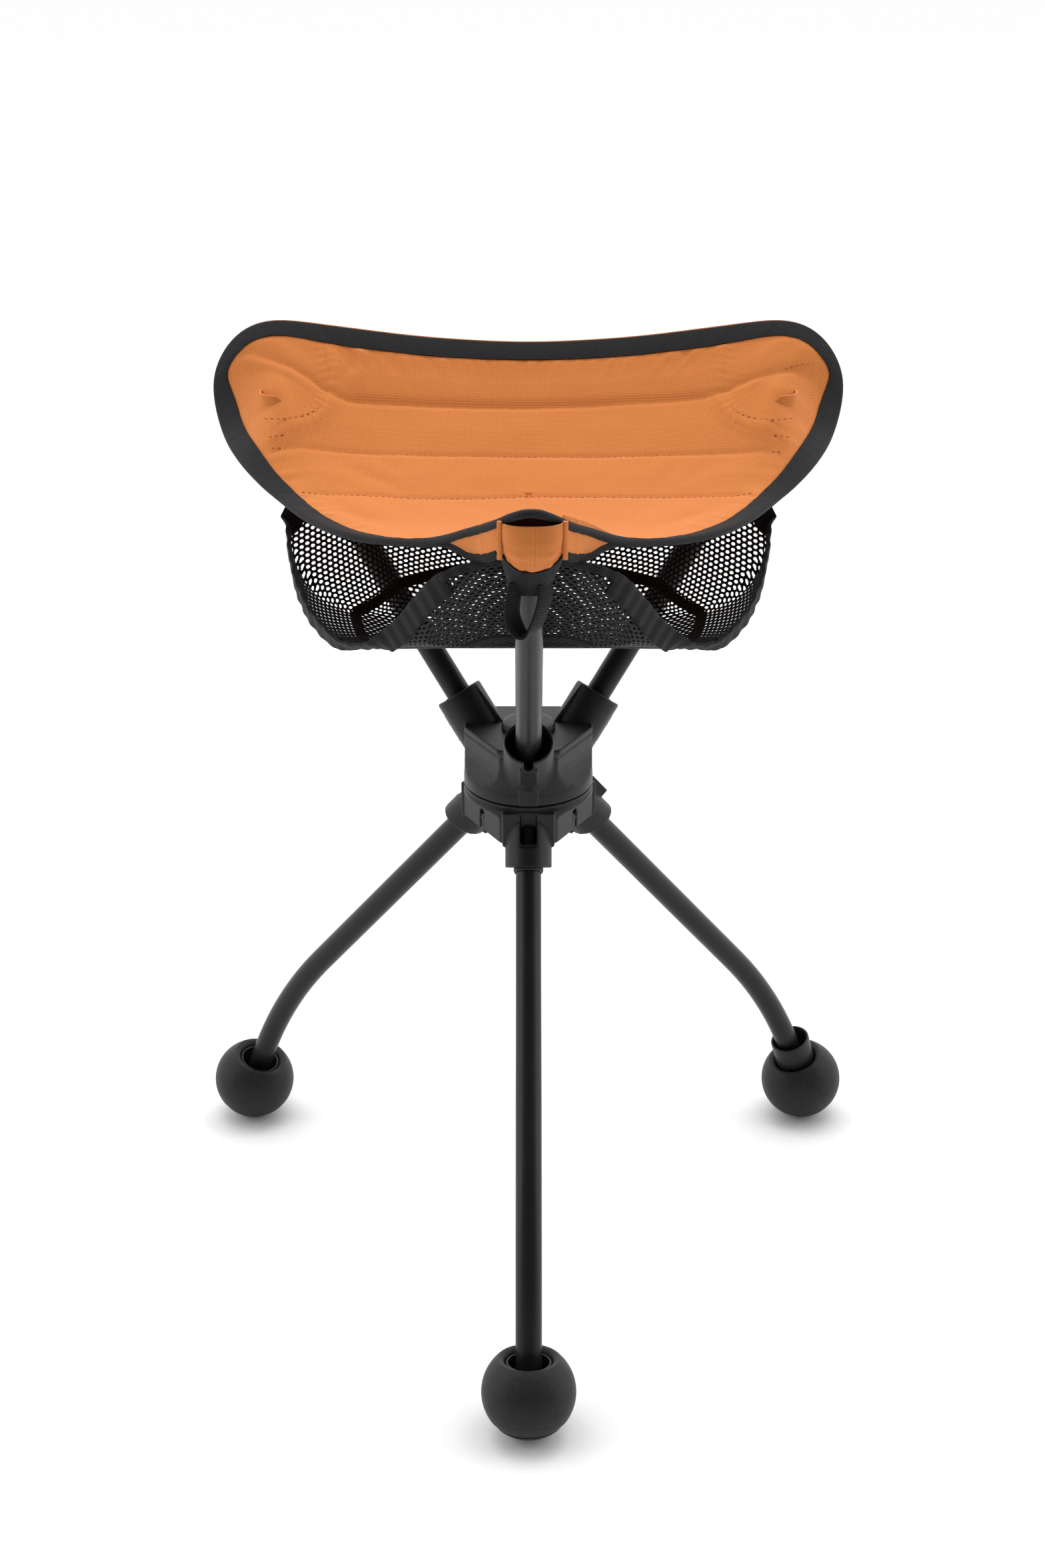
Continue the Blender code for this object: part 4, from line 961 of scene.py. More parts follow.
FOLDS = [  # soft creases: points, depth, half width
    ([(-117, 114), (-113, 104), (-114, 97), (-119, 93)], 1.1, 3.2),
    ([(-104, 116), (-99, 106), (-101, 98)], 0.8, 3.0),
    ([(-88, 116), (-84, 108), (-86, 101)], 0.6, 3.0),
    ([(106, 116), (101, 107), (102, 98)], 0.8, 3.2),
    ([(90, 116), (86, 108), (88, 100)], 0.6, 3.0),
    ([(-118, 36), (-100, 26), (-84, 18), (-76, 8)], 0.75, 5.0),
    ([(-96, 40), (-80, 29), (-72, 18)], 0.5, 5.0),
    ([(94, 38), (84, 24), (86, 10)], 0.5, 5.0),
    ([(112, 34), (100, 24), (90, 20)], 0.45, 5.0),
    ([(-130, 4), (-112, -10), (-92, -26), (-76, -34)], 1.2, 6.5),
    ([(-120, -12), (-102, -26), (-84, -44)], 1.0, 5.0),
    ([(128, 2), (110, -14), (90, -30), (76, -40)], 0.8, 6.5),
    ([(-70, -60), (-54, -84), (-44, -108)], 0.9, 6.0),
    ([(70, -60), (54, -84), (44, -108)], 0.9, 6.0),
    ([(-172, 110), (-160, 96), (-152, 84)], 0.7, 6.0),
    ([(172, 110), (160, 96), (150, 84)], 0.7, 6.0),
    ([(-178, 84), (-164, 76), (-150, 73)], 0.8, 5.0),
    ([(180, 82), (166, 75), (152, 72)], 0.8, 5.0),
]


def groove(d, depth, half):
    return -depth * np.exp(-(d / half) ** 2)


def seat_relief(x, y, edge):
    """Height added by the quilting, the patches, the seams and the creases; edge is the distance to the tape."""
    dz = np.zeros(x.shape)
    body = np.clip(edge / 14.0, 0, 1)
    d1, _ = distance(x, y, SEAM)
    d2, _ = distance(x, y, QUILT_2)
    d3, _ = distance(x, y, QUILT_3)
    nearest = np.minimum(np.minimum(d1, d2), d3)
    dz += 1.5 * (1 - np.exp(-(nearest / 11.0) ** 1.5)) * body
    dz += groove(d1, 1.5, 2.3) + groove(d2, 0.9, 2.0) * body + groove(d3, 0.8, 2.0) * body
    dz += 0.9 * np.tanh((y - 82.0) / 3.0) * np.exp(-((y - 84.0) / 22.0) ** 2) * (np.abs(x) < 119) * np.clip((119 - np.abs(x)) / 10, 0, 1)
    for inner, outer in ((PATCH_IN_L, PATCH_OUT_L), (PATCH_IN_R, PATCH_OUT_R)):
        di, ai = distance(x, y, inner)
        do, ao = distance(x, y, outer)
        mid = 0.5 * (inner + outer)
        dm, _ = distance(x, y, mid)
        gap = np.abs(inner - outer).sum(1).mean()
        dz += 1.0 / (1 + np.exp((dm - 5.2) / 0.55))                       # folded band of the patch
        dz += groove(di, 0.8, 1.1) + groove(do, 0.6, 1.0)
        corner = np.sign(inner[30, 0]) * 205.0
        side = (np.hypot(x - corner, y - 128.0) < np.hypot(x - inner[30, 0], y - inner[30, 1]) + 40)
        pucker = np.exp(-(di / 7.0) ** 2) * np.sin(ai * 150.0) * 0.16
        dz += pucker
    for pts, depth, half in FOLDS:
        line = curve(pts, 24)
        d, a = distance(x, y, line)
        fade = np.sin(np.pi * np.clip(a, 0.02, 0.98)) ** 0.7
        dz += (groove(d, depth, half) + 0.5 * depth * np.exp(-((d - 2.0 * half) / (1.2 * half)) ** 2)) * fade
    # puckers where the tape draws the cloth in, and where the quilting thread does
    ang = np.arctan2(y - SEAT_C[1], x - SEAT_C[0])
    rough = np.sin(ang * 61 + 1.3 * np.sin(ang * 17)) + 0.6 * np.sin(ang * 113 + 2.0 * np.sin(ang * 23 + 1.0)) + 0.5 * np.sin(ang * 37 + 0.7)
    dz += 0.42 * rough * np.exp(-(edge / 9.0) ** 1.3) * np.clip(edge / 1.5, 0, 1)
    for d, seed in ((d1, 0.0), (d2, 1.7), (d3, 3.1)):
        dz += 0.13 * np.sin(x * 0.62 + seed + 1.5 * np.sin(x * 0.11 + seed)) * np.exp(-(d / 7.0) ** 2)
    # broad unevenness of stretched cloth
    dz += 0.35 * np.sin(x * 0.043 + 0.6 * np.sin(y * 0.05)) * np.sin(y * 0.061 + 1.1) * body
    dz += 0.16 * np.sin(x * 0.13 + 1.7 * np.sin(y * 0.07 + 0.4)) * np.sin(y * 0.17 + 0.9 * np.sin(x * 0.05)) * body
    return dz


def seat_point(frac_row, k_arr):
    """Points on the seat surface: one row of the fan at share frac_row of the way out."""
    p = np.zeros((len(k_arr), 3))
    p[:, :2] = SEAT_C + (rim_in[k_arr, :2] - SEAT_C) * frac_row
    return p


def free_of_tape(d):
    """0 where the tape grips the panel, 1 a few millimetres clear of it."""
    q = np.clip((d - (BIND_IN - 2.6)) / 4.5, 0, 1)
    return q * q * (3 - 2 * q)


fr = np.linspace(0, 1, N_ROWS + 1)[1:] ** 0.86
rim_field = sample(field, rim_in[:, 0], rim_in[:, 1])
rows = []
for f in fr:
    p = seat_point(f, np.arange(N_RIM))
    z = sample(field, p[:, 0], p[:, 1])
    w = np.clip((f - 0.78) / 0.22, 0, 1)
    z = z + (rim_in[:, 2] - rim_field) * w * w * (3 - 2 * w)
    rows.append(np.column_stack([p[:, :2], z]))
rows = np.array(rows)
flatx, flaty = rows[:, :, 0].ravel(), rows[:, :, 1].ravel()
# distance from the inner edge of the tape, measured along the fan
ray = SEAT_C - rim_in[:, :2]
ray /= np.linalg.norm(ray, axis=1)[:, None]
inn = inward(rim_in, 5.0)[:, :2] - rim_in[:, :2]
inn /= np.linalg.norm(inn, axis=1)[:, None]
fan_cos = np.clip((ray * inn).sum(1), 0.4, 1.0)
# the cloth's height above or below its own edge is evened out along the edge, then run straight in under the tape
dev = rows[:, :, 2] - rim_in[None, :, 2]
wave_no = np.fft.rfftfreq(N_RIM) * N_RIM
soft_dev = np.fft.irfft(np.fft.rfft(dev, axis=1) * np.exp(-0.5 * (2 * math.pi * wave_no / N_RIM * 8.0) ** 2)[None, :], n=N_RIM, axis=1)
blend = np.clip((fr - 0.62) / 0.22, 0, 1)[:, None]
blend = blend * blend * (3 - 2 * blend)
rows[:, :, 2] = rim_in[None, :, 2] + dev * (1 - blend) + soft_dev * blend
for k in range(N_RIM):
    reach = np.linalg.norm(rows[:, k, :2] - rim_in[k, :2], axis=1)
    span = (BIND_IN - 1.4) / fan_cos[k]
    z_in = np.interp(span, reach[::-1], rows[::-1, k, 2])
    under = reach < span
    rows[under, k, 2] = rim_in[k, 2] + (z_in - rim_in[k, 2]) * reach[under] / span
base_rows = rows.copy()
to_rim = np.linalg.norm(rows[:, :, :2] - rim_in[None, :, :2], axis=2) * fan_cos[None, :]
nearest = np.array([np.hypot(row[:, None, 0] - rim_in[None, :, 0], row[:, None, 1] - rim_in[None, :, 1]).min(1) for row in rows])
to_rim = np.minimum(to_rim, nearest)
edge = np.maximum(to_rim - (BIND_IN - 1.4), 0.0)
relief = seat_relief(flatx, flaty, edge.ravel()).reshape(edge.shape)
relief *= free_of_tape(to_rim)
rows[:, :, 2] += relief
centre = np.array([SEAT_C[0], SEAT_C[1], rows[0, :, 2].mean()])
seat_pts = np.vstack([centre[None], rows.reshape(-1, 3)])
seat_faces = [(0, 1 + k, 1 + (k + 1) % N_RIM) for k in range(N_RIM)]
seat_faces += [tuple(1 + i for i in f) for f in grid_faces(N_ROWS, N_RIM, wrap=True)]
v, f = thick(seat_pts, seat_faces, 2.4)
uv = np.vstack([seat_pts[:, :2], seat_pts[:, :2] + np.array([500.0, 0])])
seat = make("seat_canvas", v, f, CANVAS, "seat", ("seat_panel",), "orange_fabric", uv=uv, sharp=70, outward=True)


def surface(x, y):
    """Height of the finished seat over plan points (without the stitched relief near the tape)."""
    return sample(field, x, y)


# distance field of the plan, for relief at single points
def seat_at(x, y):
    x, y = np.atleast_1d(np.asarray(x, float)), np.atleast_1d(np.asarray(y, float))
    d = np.array([np.hypot(rim_in[:, 0] - a, rim_in[:, 1] - b).min() for a, b in zip(x, y)])
    return surface(x, y) + seat_relief(x, y, np.maximum(d - (BIND_IN - 1.4), 0.0)) * free_of_tape(d)


def stitches(name, lines, mat, body, length=2.3, gap=1.5, r=0.34, lift=1.25, follow=None, slot="orange_fabric"):
    """Rows of thread: each stitch is a short bead, sunk at both ends."""
    verts, faces = [], []
    ring = 6
    for line in lines:
        line = np.asarray(line, float)
        s = np.concatenate([[0], np.cumsum(np.linalg.norm(np.diff(line, axis=0), axis=1))])
        at = 0.8
        while at + length < s[-1]:
            t = np.linspace(at, at + length, 5)
            pts = np.stack([np.interp(t, s, line[:, k]) for k in range(line.shape[1])], 1)
            if pts.shape[1] == 2:
                pts = np.column_stack([pts, seat_at(pts[:, 0], pts[:, 1]) + lift])
            d = unit(pts[-1] - pts[0])
            up = np.array([0, 0, 1.0]) if follow is None else follow
            side = np.cross(d, up)
            side = side / max(np.linalg.norm(side), 1e-6)
            up = np.cross(side, d)
            base = len(verts)
            for q, (p, sink, rr) in enumerate(zip(pts, (0.45, 0.08, 0.0, 0.08, 0.45), (0.45, 0.9, 1.0, 0.9, 0.45))):
                for a in np.linspace(0, 2 * math.pi, ring, endpoint=False):
                    verts.append(p - up * sink + side * (r * rr * math.cos(a)) + up * (r * rr * math.sin(a)))
            for q in range(4):
                for a in range(ring):
                    b = (a + 1) % ring
                    faces.append((base + q * ring + a, base + q * ring + b, base + (q + 1) * ring + b, base + (q + 1) * ring + a))
            faces.append(tuple(base + a for a in reversed(range(ring))))
            faces.append(tuple(base + 4 * ring + a for a in range(ring)))
            at += length + gap
    return make(name, verts, faces, mat, body, (), slot)


def clip_inside(line, keep=16.2):
    line = resample(line, 400, closed=False)
    ok = [np.hypot(rim[:, 0] - a, rim[:, 1] - b).min() > keep - 3 for a, b in line]
    return line[np.array(ok)]


seat_thread = stitches("seat_thread", [clip_inside(q) for q in (SEAM, QUILT_2, QUILT_3, PATCH_IN_L, PATCH_OUT_L, PATCH_IN_R, PATCH_OUT_R)], THREAD, "seat")

# binding: one tape folded round the edge, 11 mm on each face
along = np.roll(rim, -1, 0) - np.roll(rim, 1, 0)
along /= np.linalg.norm(along, axis=1)[:, None]
out = np.column_stack([rim[:, :2] - inward(rim, 5.0)[:, :2], np.zeros(N_RIM)])
out /= np.linalg.norm(out, axis=1)[:, None]
inner_edge = np.zeros((N_RIM, 3))
for k in range(N_RIM):
    span = (BIND_IN - 1.4) / fan_cos[k]
    column = np.vstack([rim_in[k], base_rows[::-1, k]])
    reach = np.concatenate([[0], np.cumsum(np.linalg.norm(np.diff(column[:, :2], axis=0), axis=1))])
    inner_edge[k] = [np.interp(span, reach, column[:, i]) for i in range(3)]
inner_edge = smooth_loop(inner_edge, 4)
run = np.concatenate([[0], np.cumsum(np.linalg.norm(np.diff(rim, axis=0), axis=1))])
wave = 0.22 * np.sin(run * 0.21 + 2.0 * np.sin(run * 0.05)) + 0.12 * np.sin(run * 0.63)
HALF_T = 2.35
profile = []   # (share of the width from the outer edge, height, is it the outside of the tape)
for a in np.linspace(0, math.pi, 9):
    profile.append((0.19 * (1 - math.sin(a)), HALF_T * math.cos(a), True))
profile = [(1.0, HALF_T * 0.86, True), (0.8, HALF_T * 1.02, True), (0.55, HALF_T * 1.06, True), (0.35, HALF_T * 1.03, True)] + profile + \
          [(0.35, -HALF_T * 1.03, True), (0.55, -HALF_T * 1.06, True), (0.8, -HALF_T * 1.02, True), (1.0, -HALF_T * 0.86, True),
           (1.01, -HALF_T * 0.66, False), (0.97, -1.32, False), (0.5, -1.32, False), (0.12, -1.32, False),
           (0.12, 1.32, False), (0.5, 1.32, False), (0.97, 1.32, False), (1.01, HALF_T * 0.66, False)]
verts, uv = [], []
for k in range(N_RIM):
    across = inner_edge[k] - rim[k]
    up = np.cross(along[k], across)
    up = unit(up if up[2] > 0 else -up)
    run_w = 0.0
    prev = None
    for share, h, outside in profile:
        q = rim[k] + across * share + up * (h + (wave[k] * 0.5 * (share > 0.15) * np.sign(h) if outside else 0.0)) + across * (0.012 * wave[k] * (share > 0.9))
        if prev is not None:
            run_w += np.linalg.norm(q - prev)
        prev = q
        verts.append(q)
        uv.append((run[k], run_w))
faces = grid_faces(N_RIM, len(profile), wrap=True)
m = len(profile)
base = (N_RIM - 1) * m
faces += [(base + k, base + (k + 1) % m, (k + 1) % m, k) for k in range(m)]
binding = make("seat_binding_tape", verts, faces, BINDING, "seat", ("seat_binding",), "black_tape", uv=uv, period=run[-1] + np.linalg.norm(rim[0] - rim[-1]), sharp=50)


def front_lift(x, y):
    """How far the strained edge stands up over the front pocket, a little more towards the right."""
    q = np.clip((-np.asarray(y) - 100.0) / 62.0, 0, 1)
    return 5.2 * np.exp(-((np.asarray(x) - 13.0) / 41.0) ** 2) * q * q * (3 - 2 * q)


for piece in (seat, binding, seat_thread):
    co = np.zeros(len(piece.data.vertices) * 3, np.float32)
    piece.data.vertices.foreach_get("co", co)
    co = co.reshape(-1, 3)
    co[:, 2] += front_lift(co[:, 0] * 1000.0, co[:, 1] * 1000.0) / 1000.0
    piece.data.vertices.foreach_set("co", co.ravel())
    piece.data.update()


def under_seat(p, az, gap=3.4):
    """Keeps points given in a pocket's own frame below the seat and its edge."""
    a = math.radians(az)
    x = p[:, 0] * math.cos(a) - p[:, 1] * math.sin(a)
    y = p[:, 0] * math.sin(a) + p[:, 1] * math.cos(a)
    d = np.hypot(rim[None, :, 0] - x[:, None], rim[None, :, 1] - y[:, None])
    k = d.argmin(1)
    beyond = ((x - rim[k, 0]) * out[k, 0] + (y - rim[k, 1]) * out[k, 1]) > -3.0
    limit = np.where(beyond, rim[k, 2], surface(x, y)) + front_lift(x, y) - gap
    p = p.copy()
    p[:, 2] = np.minimum(p[:, 2], limit)
    return p

# ---------------------------------------------------------------- corner pockets, wings and pull loops
SLICES = [  # z, distance of the middle from the axis, half width, depth outwards, depth inwards
    (515.5, 158.6, 10.2, 10.4, 10.2), (519.0, 160.8, 10.4, 10.8, 10.4), (525.0, 164.6, 11.6, 11.8, 11.2), (531.0, 168.4, 13.2, 13.0, 12.0),
    (538.0, 172.4, 15.0, 14.2, 12.8), (545.0, 176.0, 16.3, 14.0, 13.6), (552.0, 178.6, 16.8, 12.6, 14.0), (558.0, 180.0, 16.8, 11.0, 14.0), (561.5, 180.4, 16.6, 10.0, 14.0)]
SL = np.array(SLICES)
AROUND = 88


def pocket_ring(z, grow=0.0, shift=0.0):
    c, w, fo, ba = [np.interp(z, SL[:, 0], SL[:, i]) for i in (1, 2, 3, 4)]
    th = 2 * math.pi * np.arange(AROUND) / AROUND           # 0 = outwards, pi/2 = +side
    cs, sn = np.cos(th), np.sin(th)
    rad = np.where(cs > 0, fo, ba) + grow
    p = np.zeros((AROUND, 3))
    p[:, 0] = c + rad * np.sign(cs) * np.abs(cs) ** 0.85
    p[:, 1] = (w + grow) * np.sign(sn) * np.abs(sn) ** 0.80 + shift
    p[:, 2] = z
    return p, th


for who, az in AZ.items():
    front = who == "front"
    top = 561.5 if front else 558.0
    zs = np.linspace(516.5, top, 46)
    shift = 1.5 if front else 0.0
    pts = []
    for z in zs:
        p, th = pocket_ring(z, 0.0, shift * np.clip((z - 520) / 20, 0, 1))
        # gathers that fan out from the mouth, and soft folds across the front
        near = np.exp(-((z - 536.0) / 9.0) ** 2)
        ripple = (0.32 * np.sin(th * 13 + 0.6) + 0.22 * np.sin(th * 21 + 1.9)) * near
        across = 0.35 * np.sin(z * 0.9 + 2.2 * np.cos(th * 2)) * np.exp(-((np.abs(th - math.pi) - math.pi + 0.75) / 0.4) ** 2) * np.exp(-((z - 541) / 8.0) ** 2)
        push = (ripple + across)[:, None] * np.column_stack([np.cos(th), np.sin(th), np.zeros(AROUND)])
        pts.append(under_seat(p + push, az))
    pts = np.array(pts)
    for j in range(1, len(zs)):                               # keeps the rows apart where they are pressed down
        pts[j, :, 2] = np.maximum(pts[j, :, 2], pts[j - 1, :, 2] + 0.02)
    v, f = thick(pts.reshape(-1, 3), grid_faces(len(zs), AROUND, wrap=True), 1.1)
    arc = np.arange(AROUND) * 1.15
    uvp = np.column_stack([np.tile(arc, len(zs)), np.repeat(zs, AROUND)])
    sock = make("corner_pocket_sock_" + who, v, f, CANVAS, "seat", ("corner_pocket_" + who,), "orange_fabric", az, uv=np.vstack([uvp, uvp]), period=AROUND * 1.15, sharp=60)

    # black mouth band: low in the middle of the front, higher at the sides
    n_up = 22
    pts = []
    for j in range(n_up + 1):
        q = j / n_up
        p0, th = pocket_ring(515.8)
        side = np.abs(np.sin(th))
        limit = np.where(np.cos(th) > 0, 534.2 + 11.0 * side ** 2.2, 545.0)
        row = np.zeros((AROUND, 3))
        for i in range(AROUND):
            z = 515.8 + (limit[i] - 515.8) * q
            pr, _ = pocket_ring(z, 1.15, shift * np.clip((z - 520) / 20, 0, 1))
            row[i] = pr[i]
        wob = 0.16 * np.sin(th * 9 + q * 5)
        row[:, :2] += np.column_stack([np.cos(th), np.sin(th)]) * wob[:, None]
        pts.append(row)
    pts = np.array(pts)
    v, f = thick(pts.reshape(-1, 3), grid_faces(n_up + 1, AROUND, wrap=True), 0.9)
    uvp = np.column_stack([np.tile(np.arange(AROUND) * 1.0, n_up + 1), np.repeat(np.linspace(0, 26, n_up + 1), AROUND)])
    mouth = make("corner_mouth_band_" + who, v, f, WEBBING, "seat", (), "black_tape", az, uv=np.vstack([uvp, uvp]), period=AROUND * 1.0, sharp=60)

    if front:
        # webbing loop hanging from the left of the mouth, turned part way towards the side
        # (for this piece x runs outwards from the axis and y to the right as seen from the front)
        line = curve([(172.5, -7.0, 524.0), (173.5, -8.6, 516.0), (175.0, -9.4, 506.0), (176.0, -6.5, 498.5), (176.5, -1.6, 496.2), (176.0, 3.0, 500.0), (175.0, 6.4, 508.0), (174.0, 8.4, 516.0), (172.5, 8.8, 523.0)], 60)
        wdir = unit((0.80, -0.60, 0.0))
    else:
        line = curve([(187.0, -0.2, 552.0), (190.2, -0.4, 540.0), (191.4, -0.6, 524.0), (191.8, -1.0, 512.0), (190.0, -1.0, 504.6), (187.6, -0.6, 503.4), (186.6, 0.0, 510.0), (187.6, 0.4, 524.0), (188.2, 0.6, 540.0), (186.6, 0.4, 550.0)], 60)
        wdir = np.array([0.0, 1.0, 0.0])
    tan = np.gradient(line, axis=0)
    tan /= np.linalg.norm(tan, axis=1)[:, None]
    loop = band(line, np.cross(np.tile(wdir, (len(line), 1)), tan), 13.0 if front else 14.0, 1.9, "webbing_loop_" + who, WEBBING, "seat", ("pull_loop_" + who,), "black_tape", az)

# wings of the front pocket: cloth carried along under the edge on each side, trimmed in black
for side, tag in ((-1, "left"), (1, "right")):
    n_a, n_b = 44, 16
    xs = np.linspace(17.0, 57.0 if side > 0 else 50.0, n_a)
    rim_half = rim[(rim[:, 0] * side > 0) & (rim[:, 1] < -90)]
    rim_half = rim_half[np.argsort(rim_half[:, 0] * side)]
    ry = np.interp(xs, rim_half[:, 0] * side, rim_half[:, 1])
    rz = np.interp(xs, rim_half[:, 0] * side, rim_half[:, 2])
    rz = rz + front_lift(xs * side, ry)
    top = np.column_stack([xs * side, ry + 5.0, rz - 1.8])
    bz = np.interp(xs, [17.0, 22.0, 29.0, 33.0, 38.0, 45.0, 50.0, 57.0], [541.6, 537.2, 532.8, 531.8, 532.4, 532.0, 530.4, 526.6])
    bottom = np.column_stack([xs * side, ry + 8.0, np.minimum(bz, rz - 3.0)])
    top[0] = bottom[0] * np.array([1, 1, 0]) + np.array([0, -3.0, 560.0])
    pts = []
    for j in range(n_b + 1):
        q = j / n_b
        row = top * (1 - q) + bottom * q
        row[:, 1] -= 1.6 * math.sin(math.pi * q)
        fold = 0.45 * np.sin(xs * 0.42 + side) * math.sin(math.pi * q) + groove(np.abs(xs - 25.5), 0.9, 0.8) * -1.0
        row[:, 1] -= fold
        pts.append(row)
    pts = np.array(pts)
    v, f = thick(pts.reshape(-1, 3), grid_faces(n_b + 1, n_a), 1.2)
    uvp = np.column_stack([pts.reshape(-1, 3)[:, 0], pts.reshape(-1, 3)[:, 2]])
    wing = make("front_wing_" + tag, v, f, CANVAS, "seat", (), "orange_fabric", uv=np.vstack([uvp, uvp]), sharp=60)
    trim = resample(bottom + np.array([0, -0.6, -1.2]), 50, closed=False)
    normals = np.tile([side * 0.35, -0.93, 0.12], (50, 1))
    trim = band(trim, normals, 5.0, 1.9, "front_wing_trim_" + tag, WEBBING, "seat", (), "black_tape")
    # piping down the seam between pocket and wing
    pip = np.array([(side * 17.4 + 1.5, -184.5 + 0.12 * (563 - z) * 0.4, z) for z in np.linspace(562.5, 541.0, 30)])
    pip = band(pip, np.tile([side * 0.4, -0.9, 0.0], (30, 1)), 2.6, 2.2, "front_piping_" + tag, CANVAS, "seat", (), "orange_fabric")
    dash = np.array([(side * 25.5, np.interp(25.5, xs, ry) + 7.2 - 1.6, z) for z in np.linspace(552.0, 540.0, 20)])
    dash = stitches("front_wing_thread_" + tag, [dash], THREAD, "seat", follow=np.array([0.0, -1.0, 0.0]), r=0.3)

# ---------------------------------------------------------------- net pouch
POUCH = [(0, 92, 541), (-34, 88, 542), (-66, 78, 540), (-98, 64, 533), (-126, 50, 520), (-148, 30, 501), (-143, -14, 477), (-131, -45, 462),
         (-114, -67, 453), (-94, -93, 459), (-74, -117, 480), (-57, -139, 508), (-45, -151, 523), (-29, -159, 531), (-14, -156, 532), (0, -152, 530)]
N_P = 720
ploop = smooth_loop(resample(catmull(POUCH + [(-x, y, z) for x, y, z in reversed(POUCH[1:-1])], 24), N_P), 14)
ploop[:, 2] = np.minimum(ploop[:, 2], sample(field, ploop[:, 0], ploop[:, 1]) - 6.5)
ploop = smooth_loop(ploop, 4)
P_C = np.array([0.0, -12.0, 420.0])


def pouch_at(kf, t):
    """Points of the bowl: kf runs round the upper edge (0 to N_P), t from the middle of the floor to the edge."""
    kf, t = np.atleast_1d(np.asarray(kf, float)), np.atleast_1d(np.asarray(t, float))
    i = np.floor(kf).astype(int)
    u = (kf - i)[:, None]
    top = ploop[i % N_P] * (1 - u) + ploop[(i + 1) % N_P] * u
    s = 1.0 - (1.0 - np.clip(t, 0, 1)) ** 2.3
    p = np.empty((len(kf), 3))
    p[:, :2] = P_C[:2] + (top[:, :2] - P_C[:2]) * s[:, None]
    p[:, 2] = P_C[2] + (top[:, 2] - P_C[2]) * np.clip(t, 0, 1) ** 1.7
    rise = P_C[2] + 1.0 + 0.42 * np.maximum(0.0, P_C[1] - p[:, 1])
    p[:, 2] = 0.5 * (p[:, 2] + rise + np.hypot(p[:, 2] - rise, 6.0))
    for az in AZ.values():
        a = math.radians(az)
        r = np.array([math.cos(a), math.sin(a)])
        al = p[:, 0] * r[0] + p[:, 1] * r[1]
        sd = np.abs(-p[:, 0] * r[1] + p[:, 1] * r[0])
        limit = (p[:, 2] - ARM_Z0) / ARM_SLOPE - 15.0 + 0.035 * np.maximum(0.0, sd - 6.0) ** 1.6
        over = np.where((al > limit) & (sd < 60.0), al - limit, 0.0)
        p[:, :2] -= r[None, :] * over[:, None]
    return p


top_dir = ploop[:, :2] - P_C[:2]
top_ang = np.unwrap(np.arctan2(top_dir[:, 1], top_dir[:, 0]))
top_len = np.linalg.norm(top_dir, axis=1)
turn_sign = np.sign(top_ang[-1] - top_ang[0])


def floor_at(x, y):
    """Bowl point over a plan position."""
    dx, dy = x - P_C[0], y - P_C[1]
    ang = np.arctan2(dy, dx)
    rel = (ang - top_ang[0]) * turn_sign % (2 * math.pi)
    kf = np.interp(rel, np.append((top_ang - top_ang[0]) * turn_sign, 2 * math.pi), np.arange(N_P + 1))
    length = np.interp(kf, np.arange(N_P + 1), np.append(top_len, top_len[0]))
    s = np.clip(np.hypot(dx, dy) / length, 0, 0.999)
    t = 1 - (1 - s) ** (1 / 2.3)
    return pouch_at(kf, t), t


PITCH_U, PITCH_V = 4.15, 3.05
HOLE_U, HOLE_V = 1.52, 1.08


def net_mesh(name, locate, accept, span_u, span_v, nodes, t=0.75):
    """Knitted net: a staggered lattice of rounded holes laid on a surface.
    locate(U, V) gives points; accept(U, V) says which cells lie on the panel."""
    nu, nv = int(span_u / PITCH_U) + 2, int(span_v / PITCH_V) + 2
    ci, cj = np.meshgrid(np.arange(-nu, nu + 1), np.arange(-nv, nv + 1), indexing="ij")
    ci, cj = ci.ravel(), cj.ravel()
    u = (ci + 0.5 * (cj % 2)) * PITCH_U
    v = cj * PITCH_V
    ok = accept(u, v)
    ci, cj, u, v = ci[ok], cj[ok], u[ok], v[ok]
    index, pu, pv, faces = {}, [], [], []
    corner = [(-1, -1), (0, -1), (1, -1), (1, 0), (1, 1), (0, 1), (-1, 1), (-1, 0)]
    hole = [(math.cos(a), math.sin(a)) for a in (math.radians(225), math.radians(270), math.radians(315), 0.0, math.radians(45), math.radians(90), math.radians(135), math.radians(180))]
    for a, b, uu, vv in zip(ci, cj, u, v):
        ids = []
        for q, w in corner:
            key = (2 * a + (b % 2) + q, 2 * b + w)
            if key not in index:
                index[key] = len(pu)
                pu.append(uu + q * PITCH_U / 2)
                pv.append(vv + w * PITCH_V / 2)
            ids.append(index[key])
        base = len(pu)
        for q, w in hole:
            pu.append(uu + q * HOLE_U)
            pv.append(vv + w * HOLE_V)
        for k in range(8):
            k2 = (k + 1) % 8
            faces.append((ids[k], ids[k2], base + k2, base + k))
    pts = locate(np.array(pu), np.array(pv))
    vv, ff = thick(pts, faces, t)
    obj = make(name, vv, ff, YARN, "seat", nodes, "black_net", sharp=80, outward=False)
    return obj, len(ci) * PITCH_U * PITCH_V * 1e-6          # the cut of the cloth, its holes included


T0 = 0.425


def floor_locate(u, v):
    return floor_at(u + P_C[0], v + P_C[1])[0]


def floor_accept(u, v):
    return floor_at(u + P_C[0], v + P_C[1])[1] < T0


net_floor, cut_floor = net_mesh("pouch_net_floor", floor_locate, floor_accept, 130.0, 130.0, ("pouch_floor",))

half = ploop[: N_P // 2]
LOW = int(np.argmin(half[:, 2]))


